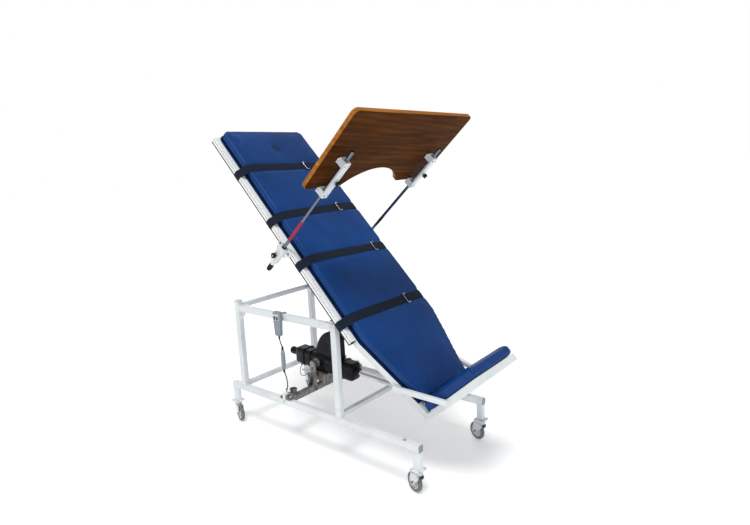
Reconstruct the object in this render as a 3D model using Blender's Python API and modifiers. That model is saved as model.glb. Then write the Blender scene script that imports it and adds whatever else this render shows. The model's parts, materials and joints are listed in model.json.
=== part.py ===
"""Motorised tilt table on a wheeled base, with a foot board, four straps and a wooden activity board.

Metres, +Z up. +X runs towards the foot board and +Y to the user's left. The origin is on the floor,
under the middle of the bounding box. The bed is shown tilted by REST_TILT.
"""

import math

import bmesh
import bpy
from mathutils import Matrix, Vector

# Base frame of square tube
TUBE = 0.036
CROSS = 0.028
GAP = 0.0003
WELD = 0.001
FOOT_X = 0.0807
HEAD_X = FOOT_X - 0.786
RAIL_ENDS = (FOOT_X - 0.895, FOOT_X + 0.500)
BASE_Y = 0.313
RAIL_Z = 0.235
TOP_RAIL_Z = 0.745
HEAD_POST_TOP = 0.782
FOOT_POST_TOP = 0.780
HEAD_CROSS_Z = (0.256, 0.757)
FOOT_CROSS = (FOOT_X - 0.045, 0.231)

# Casters
LEG_IN = 0.018
LEG_WIDTH = 0.034
LEG_BOTTOM = 0.128
PLATE_SIDE = 0.062
PLATE_THICK = 0.005
WHEEL_R = 0.050
WHEEL_WIDTH = 0.024
AXLE_R = 0.004
TRAIL = 0.030
CASTER_YAW = math.radians(-20)
FORK_CROWN_Z = 0.103

# Bed, in its own frame: x from the pivot towards the feet, z out of the bed
REST_TILT = math.radians(47.5)
PIVOT = Vector((FOOT_X, 0, 0.757))
PIVOT_R = 0.008
FRAME_LOW = 0.0385
RAIL_V = 0.304
RAIL_FOOT_V = 0.174
LEDGE_V = 0.357
LEDGE_END = 0.140
LEDGE_GROOVE = (0.026, 0.030, 0.003)
LEDGE_RECESS = (0.012, 0.005)
HEAD_END = -1.3115
RAIL_START = HEAD_END + 0.012
TAPER_X = 0.1605
PAD_END = 0.5535
PAD_HALF = 0.324
PAD_FOOT_HALF = 0.191
BOARD_BASE = (0.0748, 0.0838)
PAD_Z = (0.0841, 0.131)
FOOT_END = 0.6105
FOOT_REACH = 0.423
FOOT_PAD = ((0.555, -0.191, 0.0752), (0.610, 0.191, 0.433))
BRACE = 0.024

# Straps and their buckles
STRAP_X = (-0.992, -0.6425, -0.330, 0.0445)
STRAP_WIDTH = 0.050
STRAP_THICK = 0.0025
BUCKLE_V = (0.130, 0.150, 0.200, 0.150)
BUCKLE = (0.062, 0.026, 0.004)

# Activity board on two posts
POST_R = 0.009
POST_X = -0.475
POST_V = 0.372
POST_SPAN = (-0.080, 0.755)
POST_CAP = (-0.127, -0.075, 0.0145)
BORE_CLEARANCE = 0.0003
SOCKET = ((-0.498, 0.3580, -0.045), (-0.452, 0.3945, 0.065))
SLEEVE = (-0.073, 0.0135)
BRACKET = ((-0.5022, 0.352, 0.468), (-0.454, 0.392, 0.698))
BRACKET_WINDOW = (0.505, 0.661)
TABLETOP_X = (-0.5245, -0.5025)
TABLETOP_HALF = 0.495
TABLETOP_Z = (0.490, 0.964)
CUTOUT_HALF = 0.235
CUTOUT_DEPTH = 0.115
KNOB_R = 0.015
KNOB_LENGTH = 0.026

# Drive: the trunnion and the rod pin are the same distance from the pivot, so the drive swings by
# exactly half of the bed's turn
TRUNNION = PIVOT + Vector((-0.41, 0, -0.367))
ROD_PIN_DROP = 0.020
TRUNNION_R = 0.012
BEAM_Z = (0.222, 0.258)
YOKE_Y = (0.080, 0.090)
ROD_R = 0.014
ROD_BORE = 0.0145
ROD_LENGTH = 0.770
HOUSING = ((-0.190, -0.048, -0.055), (0.275, 0.048, 0.050))
HOUSING_TAIL = -0.262
HOUSING_NOSE = 0.292

# Hand control on the right top rail
HANDSET_X = FOOT_X - 0.391
HANDSET = ((-0.0275, -0.366, 0.645), (0.0275, -0.3365, 0.784))
BUTTON_Z = 0.748
BUTTON_X = 0.0105
CONNECTOR = (Vector((FOOT_X - 0.372, -0.350, 0.452)), 0.115, 0.0125)
CORD_R = 0.003
HANDSET_CORD = (
    (-0.390, -0.3510, 0.6445), (-0.3898, -0.3510, 0.6360), (-0.3885, -0.3512, 0.6260),
    (-0.3860, -0.3514, 0.6140), (-0.3815, -0.3512, 0.6010), (-0.3765, -0.3507, 0.5890),
    (-0.3733, -0.3502, 0.5780), (-0.3720, -0.3500, 0.5680), (-0.3720, -0.3500, 0.5095),
    (-0.3720, -0.3500, 0.4510), (-0.3705, -0.3500, 0.4400), (-0.3655, -0.3502, 0.4270),
    (-0.3590, -0.3506, 0.4130), (-0.3535, -0.3512, 0.3970), (-0.3505, -0.3516, 0.3800),
    (-0.3515, -0.3510, 0.3620), (-0.3565, -0.3490, 0.3450), (-0.3655, -0.3440, 0.3310),
    (-0.3770, -0.3360, 0.3230), (-0.3890, -0.3270, 0.3200), (-0.3990, -0.3190, 0.3180),
    (-0.4060, -0.3140, 0.3130), (-0.4080, -0.3125, 0.3055), (-0.4080, -0.3125, 0.2986),
)
LEAD_R = 0.002
MOTOR_LEAD = (
    (-0.150, -0.030, -0.0553), (-0.151, -0.030, -0.064), (-0.154, -0.031, -0.074),
    (-0.158, -0.033, -0.085), (-0.160, -0.036, -0.097), (-0.157, -0.040, -0.109),
    (-0.149, -0.044, -0.118), (-0.137, -0.047, -0.123), (-0.123, -0.049, -0.123),
    (-0.108, -0.050, -0.118), (-0.094, -0.050, -0.110), (-0.081, -0.050, -0.101),
    (-0.069, -0.050, -0.094), (-0.059, -0.050, -0.090), (-0.0503, -0.050, -0.089),
)

SIDES = (("right", -1), ("left", 1))


def clear_scene():
    for obj in list(bpy.data.objects):
        bpy.data.objects.remove(obj, do_unlink=True)


def material(name, color, roughness, metallic=0.0):
    made = bpy.data.materials.new(name)
    made.use_nodes = True
    shader = made.node_tree.nodes["Principled BSDF"]
    shader.inputs["Base Color"].default_value = (*color, 1.0)
    shader.inputs["Roughness"].default_value = roughness
    shader.inputs["Metallic"].default_value = metallic
    return made


def new_collection(name):
    made = bpy.data.collections.new(name)
    bpy.context.scene.collection.children.link(made)
    return made


clear_scene()
PARTS = new_collection("tilt_table")
CUTTERS = new_collection("cutters")
WHITE = material("white_paint", (0.78, 0.81, 0.82), 0.35)
BLUE = material("blue_vinyl", (0.015, 0.055, 0.26), 0.45)
BLACK = material("black_webbing", (0.012, 0.013, 0.016), 0.85)
STEEL = material("bright_steel", (0.62, 0.63, 0.64), 0.25, 1.0)
CAST = material("cast_metal", (0.33, 0.30, 0.28), 0.55, 0.9)
WOOD = material("varnished_wood", (0.32, 0.13, 0.04), 0.40)
PLASTIC = material("black_plastic", (0.015, 0.015, 0.018), 0.40)
RUBBER = material("rubber", (0.03, 0.03, 0.03), 0.80)
GREY = material("grey_plastic", (0.36, 0.38, 0.41), 0.45)
TYRE = material("grey_tyre", (0.20, 0.22, 0.23), 0.70)


def place(obj, parent):
    CUTTERS.objects.link(obj)
    obj.parent = parent
    obj.hide_render = True
    obj.display_type = "WIRE"
    return obj


def as_part(obj, finish):
    """Turn a shape into a piece of the table, with its material."""
    CUTTERS.objects.unlink(obj)
    PARTS.objects.link(obj)
    obj.hide_render = False
    obj.display_type = "TEXTURED"
    obj.data.materials.append(finish)
    obj.data.shade_smooth()
    obj.data.set_sharp_from_angle(angle=math.radians(35))
    return obj


def axis_frame(name, location, tilt=0.0, yaw=0.0, parent=None):
    """An empty on a joint's axis, which carries the pieces that turn about it."""
    made = bpy.data.objects.new(name, None)
    made.location = location
    made.rotation_euler = (0, tilt, yaw)
    made.parent = parent
    PARTS.objects.link(made)
    return made


def round_edges(obj, width, segments=2):
    bevel = obj.modifiers.new("edges", "BEVEL")
    bevel.width = width
    bevel.segments = segments
    bevel.limit_method = "ANGLE"
    bevel.angle_limit = math.radians(40)
    return obj


def boolean(obj, other, operation):
    step = obj.modifiers.new(operation.lower(), "BOOLEAN")
    step.operation = operation
    step.object = other


def join(obj, *others):
    for other in others:
        boolean(obj, other, "UNION")
    return obj


def cut(obj, *others):
    for other in others:
        boolean(obj, other, "DIFFERENCE")
    return obj


def box(name, low, high, parent=None, edge=0.0, segments=1):
    low = Vector(low)
    high = Vector(high)
    mesh = bpy.data.meshes.new(name)
    shape = bmesh.new()
    bmesh.ops.create_cube(shape, size=1.0, matrix=Matrix.Diagonal((*(high - low), 1.0)))
    bmesh.ops.translate(shape, verts=shape.verts, vec=(low + high) / 2)
    shape.to_mesh(mesh)
    shape.free()
    obj = place(bpy.data.objects.new(name, mesh), parent)
    if edge:
        round_edges(obj, edge, segments)
    return obj


def rod(name, start, end, radius, parent=None, sides=20, edge=0.0):
    """A cylinder between two points."""
    start = Vector(start)
    end = Vector(end)
    mesh = bpy.data.meshes.new(name)
    shape = bmesh.new()
    turn = Vector((0, 0, 1)).rotation_difference(end - start).to_matrix().to_4x4()
    bmesh.ops.create_cone(
        shape, cap_ends=True, segments=sides, radius1=radius, radius2=radius,
        depth=(end - start).length, matrix=Matrix.Translation((start + end) / 2) @ turn,
    )
    shape.to_mesh(mesh)
    shape.free()
    obj = place(bpy.data.objects.new(name, mesh), parent)
    if edge:
        round_edges(obj, edge, 1)
    return obj


def beam(name, start, end, side, parent=None):
    """A square bar between two points, with its sides turned square to the bed's width."""
    start = Vector(start)
    end = Vector(end)
    along = (end - start).normalized()
    across = Vector((0, 1, 0)).cross(along).normalized()
    turn = Matrix((across, along.cross(across), along)).transposed().to_4x4()
    size = Matrix.Diagonal((side, side, (end - start).length, 1.0))
    mesh = bpy.data.meshes.new(name)
    shape = bmesh.new()
    bmesh.ops.create_cube(shape, size=1.0, matrix=Matrix.Translation((start + end) / 2) @ turn @ size)
    shape.to_mesh(mesh)
    shape.free()
    return round_edges(place(bpy.data.objects.new(name, mesh), parent), 0.003, 1)


def flat(name, outlines, thickness, matrix, parent=None):
    """A plate whose outline lies in its own XY plane; outlines after the first are holes."""
    curve = bpy.data.curves.new(name, "CURVE")
    curve.dimensions = "2D"
    curve.fill_mode = "BOTH"
    curve.extrude = thickness / 2
    for outline in outlines:
        spline = curve.splines.new("POLY")
        spline.points.add(len(outline) - 1)
        spline.use_cyclic_u = True
        for point, (x, y) in zip(spline.points, outline):
            point.co = (x, y, 0, 1)
    source = place(bpy.data.objects.new(name + "_outline", curve), None)
    bpy.context.view_layer.update()
    graph = bpy.context.evaluated_depsgraph_get()
    mesh = bpy.data.meshes.new_from_object(source.evaluated_get(graph))
    bpy.data.objects.remove(source, do_unlink=True)
    shape = bmesh.new()
    shape.from_mesh(mesh)
    bmesh.ops.remove_doubles(shape, verts=shape.verts, dist=0.00005)
    bmesh.ops.dissolve_limit(
        shape, angle_limit=math.radians(0.5), verts=shape.verts, edges=shape.edges
    )
    bmesh.ops.transform(shape, matrix=matrix, verts=shape.verts)
    bmesh.ops.recalc_face_normals(shape, faces=shape.faces)
    shape.to_mesh(mesh)
    shape.free()
    mesh.name = name
    return place(bpy.data.objects.new(name, mesh), parent)


def plane(origin, x_axis, y_axis):
    """The matrix of a plane given by its origin and its two axes."""
    x_axis = Vector(x_axis)
    y_axis = Vector(y_axis)
    turn = Matrix((x_axis, y_axis, x_axis.cross(y_axis))).transposed().to_4x4()
    return Matrix.Translation(origin) @ turn


def arc(centre, radius, start, end, steps):
    """Points of an arc; angles in degrees."""
    angles = [math.radians(start + (end - start) * i / steps) for i in range(steps + 1)]
    return [(centre[0] + radius * math.cos(a), centre[1] + radius * math.sin(a)) for a in angles]


def smooth_route(points, count):
    """Points at equal steps along a Catmull-Rom curve through the route's own points."""
    points = [Vector(p) for p in points]
    ends = [points[0] * 2 - points[1], *points, points[-1] * 2 - points[-2]]
    fine = []
    for a, b, c, d in zip(ends, ends[1:], ends[2:], ends[3:]):
        for step in range(8):
            t = step / 8
            fine.append(
                (b * 2 + (c - a) * t + (a * 2 - b * 5 + c * 4 - d) * t**2 + (b * 3 - a - c * 3 + d) * t**3)
                / 2
            )
    fine.append(points[-1])
    reach = [0.0]
    for a, b in zip(fine, fine[1:]):
        reach.append(reach[-1] + (b - a).length)
    route = []
    index = 0
    for i in range(count):
        wanted = reach[-1] * i / (count - 1)
        while index < len(reach) - 2 and reach[index + 1] < wanted:
            index += 1
        part = (wanted - reach[index]) / (reach[index + 1] - reach[index])
        route.append(fine[index].lerp(fine[index + 1], min(1.0, part)))
    return route


def cord(name, points, radius, count, finish, offset=(0, 0, 0), parent=None):
    curve = bpy.data.curves.new(name, "CURVE")
    curve.dimensions = "3D"
    curve.bevel_depth = radius
    curve.bevel_resolution = 2
    curve.use_fill_caps = True
    spline = curve.splines.new("POLY")
    route = smooth_route(points, count)
    spline.points.add(len(route) - 1)
    for point, place_at in zip(spline.points, route):
        point.co = (*(place_at + Vector(offset)), 1)
    curve.materials.append(finish)
    obj = bpy.data.objects.new(name, curve)
    obj.parent = parent
    PARTS.objects.link(obj)
    return obj


def tube_box(name, low, high, finish=WHITE, parent=None):
    return as_part(box(name, low, high, parent, edge=0.003, segments=2), finish)


def make_base_frame():
    half = TUBE / 2
    for side, sign in SIDES:
        y = sign * BASE_Y
        rail = box(
            f"base_rail_{side}", (RAIL_ENDS[0], y - half, RAIL_Z - half),
            (RAIL_ENDS[1], y + half, RAIL_Z + half), edge=0.003,
        )
        for end, x in (("head", RAIL_ENDS[0] + LEG_IN), ("foot", RAIL_ENDS[1] - LEG_IN)):
            leg = box(
                f"leg_{end}_{side}", (x - LEG_WIDTH / 2, y - LEG_WIDTH / 2, LEG_BOTTOM - 0.002),
                (x + LEG_WIDTH / 2, y + LEG_WIDTH / 2, RAIL_Z),
            )
            plate = box(
                f"plate_{end}_{side}", (x - PLATE_SIDE / 2, y - PLATE_SIDE / 2, LEG_BOTTOM - PLATE_THICK),
                (x + PLATE_SIDE / 2, y + PLATE_SIDE / 2, LEG_BOTTOM), edge=0.0015,
            )
            join(rail, leg, plate)
        as_part(rail, WHITE)
        low = RAIL_Z + half + GAP
        tube_box(
            f"head_upright_{side}", (HEAD_X - half, y - half, low), (HEAD_X + half, y + half, HEAD_POST_TOP)
        )
        upright = box(
            f"foot_upright_{side}", (FOOT_X - half, y - half, low),
            (FOOT_X + half, y + half, FOOT_POST_TOP), edge=0.003,
        )
        hole = rod(
            f"pivot_hole_{side}", PIVOT + Vector((0, y - TUBE, 0)), PIVOT + Vector((0, y + TUBE, 0)),
            PIVOT_R + BORE_CLEARANCE,
        )
        as_part(cut(upright, hole), WHITE)
        tube_box(
            f"top_rail_{side}", (HEAD_X + half + GAP, y - half, TOP_RAIL_Z - half),
            (FOOT_X - half - GAP, y + half, TOP_RAIL_Z + half),
        )
        cap = box(
            f"upright_cap_{side}", (HEAD_X - half, y - half, HEAD_POST_TOP + GAP),
            (HEAD_X + half, y + half, PIVOT.z + FRAME_LOW - GAP), edge=0.004,
        )
        as_part(cap, RUBBER)
    inner = BASE_Y - half - GAP
    half_cross = CROSS / 2
    crosses = (
        ("head_low_cross_tube", HEAD_X, HEAD_CROSS_Z[0], inner),
        ("head_top_cross_tube", HEAD_X, HEAD_CROSS_Z[1], inner),
        ("foot_low_cross_tube", *FOOT_CROSS, inner),
    )
    for name, x, z, reach in crosses:
        tube_box(name, (x - half_cross, -reach, z - half_cross), (x + half_cross, reach, z + half_cross))


def wheel_profile():
    """The wheel's section: hub, web and a tyre with a rounded tread, from the bore outwards."""
    half = WHEEL_WIDTH / 2
    bore = AXLE_R + BORE_CLEARANCE
    tread = arc((WHEEL_R - 0.008, 0), 0.008, 90, -90, 4)
    upper = [(bore, half - 0.001), (0.013, half - 0.001), (0.015, half - 0.005), (0.034, half - 0.004)]
    outer = [(x, y * (half / 0.008)) for x, y in tread]
    lower = [(x, -y) for x, y in reversed(upper)]
    return upper + outer + lower


def turned(name, profile, parent, steps=20):
    """A closed section, turned about the frame's own Y axis with a Screw modifier."""
    mesh = bpy.data.meshes.new(name)
    shape = bmesh.new()
    corners = [shape.verts.new((x, y, 0)) for x, y in profile]
    for a, b in zip(corners, corners[1:] + corners[:1]):
        shape.edges.new((a, b))
    shape.to_mesh(mesh)
    shape.free()
    obj = place(bpy.data.objects.new(name, mesh), parent)
    screw = obj.modifiers.new("turn", "SCREW")
    screw.axis = "Y"
    screw.steps = steps
    screw.render_steps = steps
    screw.use_normal_calculate = True
    screw.use_merge_vertices = True
    screw.merge_threshold = 0.00001
    return obj


def make_casters():
    for end, x, turn in (("head", RAIL_ENDS[0] + LEG_IN, 0), ("foot", RAIL_ENDS[1] - LEG_IN, math.pi)):
        for side, sign in SIDES:
            swivel = axis_frame(f"swivel_axis_{end}_{side}", (x, sign * BASE_Y, 0), yaw=CASTER_YAW + turn)
            name = f"caster_fork_{end}_{side}"
            leg_in = WHEEL_WIDTH / 2 + 0.002
            leg_out = leg_in + 0.004
            fork = rod(name, (0, 0, FORK_CROWN_Z), (0, 0, LEG_BOTTOM - PLATE_THICK - GAP), 0.024, swivel)
            crown = box(name + "_crown", (-0.022, -leg_out, FORK_CROWN_Z - 0.0015),
                        (TRAIL + 0.014, leg_out, FORK_CROWN_Z + 0.003), swivel)
            cheeks = [
                box(f"{name}_cheek_{side_of}", (TRAIL - 0.016, min(a, b), WHEEL_R - 0.014),
                    (TRAIL + 0.013, max(a, b), FORK_CROWN_Z + 0.002), swivel)
                for side_of, a, b in (("a", leg_in, leg_out - 0.0002), ("b", -leg_in, 0.0002 - leg_out))
            ]
            axle = rod(name + "_axle", (TRAIL, -leg_out - 0.002, WHEEL_R), (TRAIL, leg_out + 0.002, WHEEL_R),
                       AXLE_R, swivel, sides=12)
            as_part(join(fork, crown, *cheeks, axle), STEEL)
            axis = axis_frame(f"wheel_axis_{end}_{side}", (TRAIL, 0, WHEEL_R), parent=swivel)
            as_part(turned(f"caster_wheel_{end}_{side}", wheel_profile(), axis), TYRE)


def rail_outline(sign):
    """The side rail seen from above: a ledge beside the pad, then one tube that turns in towards the feet."""
    half = TUBE / 2
    lean = math.atan2(RAIL_V - RAIL_FOOT_V, FOOT_END + half - TAPER_X)
    slant = half / math.cos(lean)
    kink = half * math.tan(lean / 2)
    end = FOOT_END - GAP
    end_v = RAIL_V - (end - TAPER_X) * math.tan(lean)
    outline = [
        (RAIL_START, RAIL_V - half), (RAIL_START, LEDGE_V),
        (LEDGE_END, LEDGE_V), (LEDGE_END + 0.004, RAIL_V + half),
        (TAPER_X + kink, RAIL_V + half), (end, end_v + slant), (end, end_v - slant),
        (TAPER_X - kink, RAIL_V - half),
    ]
    return [(x, sign * v) for x, v in outline]


def bed_outline(inset):
    """Half of the pad's outline mirrored: wide at the head, narrow at the feet."""
    corner = 0.045
    head = HEAD_END + inset
    half = PAD_HALF - inset
    foot = PAD_HALF - (PAD_END - TAPER_X) * (PAD_HALF - PAD_FOOT_HALF) / (FOOT_END + 0.029 - TAPER_X)
    left = arc((head + corner, half - corner), corner, 180, 90, 5)
    left += [(TAPER_X, half), (PAD_END - inset, foot - inset)]
    return left + [(x, -v) for x, v in reversed(left)]


def lug(name, x, y_span, low, high, parent):
    return box(name, (x - 0.018, min(y_span), low), (x + 0.018, max(y_span), high), parent, edge=0.004)


def make_bed(bed):
    half = TUBE / 2
    for side, sign in SIDES:
        rail = flat(f"side_rail_{side}", [rail_outline(sign)], TUBE,
                    plane((0, 0, FRAME_LOW + half), (1, 0, 0), (0, 1, 0)), bed)
        round_edges(rail, 0.003)
        low, high, depth = LEDGE_GROOVE
        span = sorted((sign * (LEDGE_V - depth), sign * (LEDGE_V + 0.01)))
        groove = box(f"rail_groove_{side}", (HEAD_END - 0.1, span[0], FRAME_LOW + low),
                     (LEDGE_END - 0.010, span[1], FRAME_LOW + high), bed)
        height, depth = LEDGE_RECESS
        span = sorted((sign * (LEDGE_V - depth), sign * (LEDGE_V + 0.01)))
        recess = box(f"rail_recess_{side}", (HEAD_END - 0.1, span[0], FRAME_LOW - 0.01),
                     (LEDGE_END + 0.02, span[1], FRAME_LOW + height), bed)
        inner = BASE_Y - half - 0.0006
        ear = lug(f"pivot_ear_{side}", 0, (sign * inner, sign * (inner - 0.006)), -0.017,
                  FRAME_LOW + 0.008, bed)
        hole = rod(f"ear_hole_{side}", (0, sign * (inner + 0.02), 0), (0, sign * (inner - 0.03), 0),
                   PIVOT_R + BORE_CLEARANCE, bed)
        as_part(cut(join(rail, ear), groove, recess, hole), WHITE)
    reach = RAIL_V - half - WELD
    tube_box("bed_head_cross_tube", (-1.262, -reach, FRAME_LOW + 0.004), (-1.234, reach, FRAME_LOW + 0.032),
             WHITE, bed)
    shaft_end = BASE_Y + half + 0.004
    as_part(rod("pivot_shaft", (0, -shaft_end, 0), (0, shaft_end, 0), PIVOT_R, bed, edge=0.001), STEEL)
    base = flat("bed_board", [bed_outline(0.003)], BOARD_BASE[1] - BOARD_BASE[0],
                plane((0, 0, sum(BOARD_BASE) / 2), (1, 0, 0), (0, 1, 0)), bed)
    as_part(base, WOOD)
    pad = flat("bed_pad", [bed_outline(0.0)], PAD_Z[1] - PAD_Z[0],
               plane((0, 0, sum(PAD_Z) / 2), (1, 0, 0), (0, 1, 0)), bed)
    as_part(round_edges(pad, 0.009, 2), BLUE)


def make_rod_mount(bed, pin):
    """The cross tube near the feet, with the clevis that holds the push rod's pin."""
    half = CROSS / 2
    tube = box("drive_cross_tube", (pin.x - half, -0.174, FRAME_LOW + 0.001),
               (pin.x + half, 0.174, FRAME_LOW + 0.001 + CROSS), bed, edge=0.003)
    cheeks = [
        box(f"clevis_cheek_{name}", (pin.x - 0.020, min(a, b), pin.z - 0.020),
            (pin.x + 0.020, max(a, b), FRAME_LOW + 0.006), bed, edge=0.003)
        for name, a, b in (("a", 0.017, 0.025), ("b", -0.017, -0.025))
    ]
    bolt = rod("clevis_pin", (pin.x, -0.031, pin.z), (pin.x, 0.031, pin.z), PIVOT_R, bed)
    as_part(join(tube, *cheeks, bolt), WHITE)


def make_foot_board(bed):
    low = FRAME_LOW
    x0 = FOOT_END
    x1 = FOOT_END + TUBE
    half = TUBE / 2
    arms = [
        box(name, (x0, sign * RAIL_FOOT_V - half, low), (x1, sign * RAIL_FOOT_V + half, FOOT_REACH), bed,
            edge=0.003)
        for name, sign in (("foot_frame", -1), ("foot_arm_left", 1))
    ]
    bars = [
        box(name, (x0 + 0.001, 0.012 - RAIL_FOOT_V, z), (x1 - 0.001, RAIL_FOOT_V - 0.012, z + TUBE - 0.002),
            bed, edge=0.003)
        for name, z in (("foot_bar_low", low + 0.001), ("foot_bar_high", FOOT_REACH - TUBE + 0.001))
    ]
    braces = [
        beam(f"foot_brace_{side}", (0.425, sign * 0.2725, low + half - 0.004),
             (x0 + half, sign * (RAIL_FOOT_V + half + 0.0105), 0.215), BRACE, bed)
        for side, sign in SIDES
    ]
    as_part(join(arms[0], arms[1], *bars, *braces), WHITE)
    pad = box("foot_pad", *FOOT_PAD, bed, edge=0.012, segments=2)
    as_part(pad, BLUE)


def strap_outline():
    """The strap's own section across the bed: over the pad, out to the rails' ledges and under them."""
    side = PAD_HALF
    top = PAD_Z[1] + GAP
    under = FRAME_LOW - 0.0015
    tail = RAIL_V - 0.016
    edge = LEDGE_V + 3 * GAP
    ledge = FRAME_LOW + TUBE
    outer = [(edge + STRAP_THICK, under - STRAP_THICK), (edge + STRAP_THICK, ledge + 0.001),
             (side + STRAP_THICK, top + 0.0005), (side - 0.003, top + STRAP_THICK)]
    inner = [(side - 0.0035, top), (side + 0.0008, top - 0.003), (edge, ledge), (edge, under)]
    left = [(tail, under), (tail, under - STRAP_THICK), *outer]
    right = [(-v, w) for v, w in reversed(left)]
    back = [(-v, w) for v, w in reversed(inner)]
    return left + right + back + inner


def make_straps(bed):
    for number, (x, v) in enumerate(zip(STRAP_X, BUCKLE_V), start=1):
        band = flat(f"strap_{number}", [strap_outline()], STRAP_WIDTH,
                    plane((x, 0, 0), (0, 1, 0), (0, 0, 1)), bed)
        as_part(band, BLACK)
        slide = axis_frame(f"buckle_axis_{number}", (x, v, PAD_Z[1] + STRAP_THICK + 2 * GAP), parent=bed)
        a, b, t = BUCKLE
        frame = [(-a / 2, -b / 2), (a / 2, -b / 2), (a / 2, b / 2), (-a / 2, b / 2)]
        slots = [
            [(-a / 2 + 0.004, y), (a / 2 - 0.004, y), (a / 2 - 0.004, y + 0.007), (-a / 2 + 0.004, y + 0.007)]
            for y in (-0.0095, 0.0025)
        ]
        buckle = flat(f"buckle_{number}", [frame, *slots], t,
                      plane((0, 0, t / 2), (1, 0, 0), (0, 1, 0)), slide)
        as_part(buckle, STEEL)


def star_outline(radius, lobes=6, steps=24):
    angles = [2 * math.pi * i / steps for i in range(steps)]
    reaches = [radius * (1 + 0.10 * math.cos(lobes * a)) for a in angles]
    return [(reach * math.cos(a), reach * math.sin(a)) for reach, a in zip(reaches, angles)]


def make_knob(name, origin, outward, across, parent):
    """A lobed clamp knob on its stem, turning about its outward axis."""
    axis = axis_frame(name + "_axis", origin, parent=parent)
    outward = Vector(outward)
    across = Vector(across)
    head = flat(name, [star_outline(KNOB_R)], KNOB_LENGTH - 0.008,
                plane(outward * (0.008 + (KNOB_LENGTH - 0.008) / 2), across, outward.cross(across)), axis)
    stem = rod(name + "_stem", outward * GAP, outward * 0.012, 0.006, axis, sides=12)
    as_part(join(head, stem), PLASTIC)


def make_posts(bed):
    posts = axis_frame("post_slide_axis", (POST_X, 0, 0), parent=bed)
    for side, sign in SIDES:
        v = sign * POST_V
        low, high = Vector(SOCKET[0]), Vector(SOCKET[1])
        span = sorted((sign * low.y, sign * high.y))
        socket = box(f"post_socket_{side}", (low.x, span[0], low.z), (high.x, span[1], high.z), bed,
                     edge=0.003)
        reach = sorted((sign * low.y, sign * (low.y + 0.0065)))
        arm = box(f"socket_arm_{side}", (low.x - 0.032, reach[0], FRAME_LOW + 0.0015),
                  (high.x + 0.032, reach[1], FRAME_LOW + 0.0335), bed, edge=0.002)
        sleeve = rod(f"socket_sleeve_{side}", (POST_X, v, SLEEVE[0]), (POST_X, v, low.z + 0.01), SLEEVE[1],
                     bed)
        bore = rod(f"socket_bore_{side}", (POST_X, v, -0.2), (POST_X, v, 0.2), POST_R + BORE_CLEARANCE, bed)
        as_part(cut(join(socket, arm, sleeve), bore), WHITE)
        make_knob(f"socket_knob_{side}", (POST_X, sign * high.y, 0.010), (0, sign, 0), (1, 0, 0), bed)
        post = rod(f"post_{side}", (0, v, POST_SPAN[0]), (0, v, POST_SPAN[1]), POST_R, posts, edge=0.001)
        cap = rod(f"post_cap_{side}", (0, v, POST_CAP[0]), (0, v, POST_CAP[1]), POST_CAP[2], posts,
                  edge=0.003)
        as_part(join(post, cap), STEEL)


def tabletop_outline():
    """Half of the board from the cut-out to the outer edge, mirrored; x runs across, y away from the bed."""
    low, high = TABLETOP_Z
    radius = (CUTOUT_HALF**2 + CUTOUT_DEPTH**2) / (2 * CUTOUT_DEPTH)
    centre = low + CUTOUT_DEPTH - radius
    fillet = 0.040
    fillet_v = math.sqrt((radius + fillet) ** 2 - (low + fillet - centre) ** 2)
    touch = math.degrees(math.atan2(low + fillet - centre, fillet_v))
    corner = 0.028
    left = arc((0, centre), radius, 90, touch, 7)
    left += arc((fillet_v, low + fillet), fillet, 180 + touch, 270, 5)
    left += arc((TABLETOP_HALF - corner, low + corner), corner, -90, 0, 4)
    left += arc((TABLETOP_HALF - corner, high - corner), corner, 0, 90, 4)
    return left + [(-v, w) for v, w in reversed(left[1:])]


def make_tabletop(bed):
    board = axis_frame("board_slide_axis", (POST_X, 0, 0), parent=bed)
    offset = Vector((-POST_X, 0, 0))
    top = flat("activity_board", [tabletop_outline()], TABLETOP_X[1] - TABLETOP_X[0],
               plane(Vector((sum(TABLETOP_X) / 2, 0, 0)) + offset, (0, 1, 0), (0, 0, 1)), board)
    as_part(round_edges(top, 0.003, 1), WOOD)
    low, high = Vector(BRACKET[0]) + offset, Vector(BRACKET[1]) + offset
    for side, sign in SIDES:
        span = sorted((sign * low.y, sign * high.y))
        bracket = box(f"board_bracket_{side}", (low.x, span[0], low.z), (high.x, span[1], high.z), board,
                      edge=0.003)
        window = box(f"bracket_window_{side}", (low.x - 0.01, span[0] - 0.01, BRACKET_WINDOW[0]),
                     (POST_R + 0.001, span[1] + 0.01, BRACKET_WINDOW[1]), board)
        bore = rod(f"bracket_bore_{side}", (0, sign * POST_V, 0.4), (0, sign * POST_V, 0.8),
                   POST_R + BORE_CLEARANCE, board)
        as_part(cut(bracket, window, bore), WHITE)
        make_knob(f"bracket_knob_{side}", (high.x, sign * POST_V, (low.z + high.z) / 2), (1, 0, 0), (0, 1, 0),
                  board)


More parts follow.
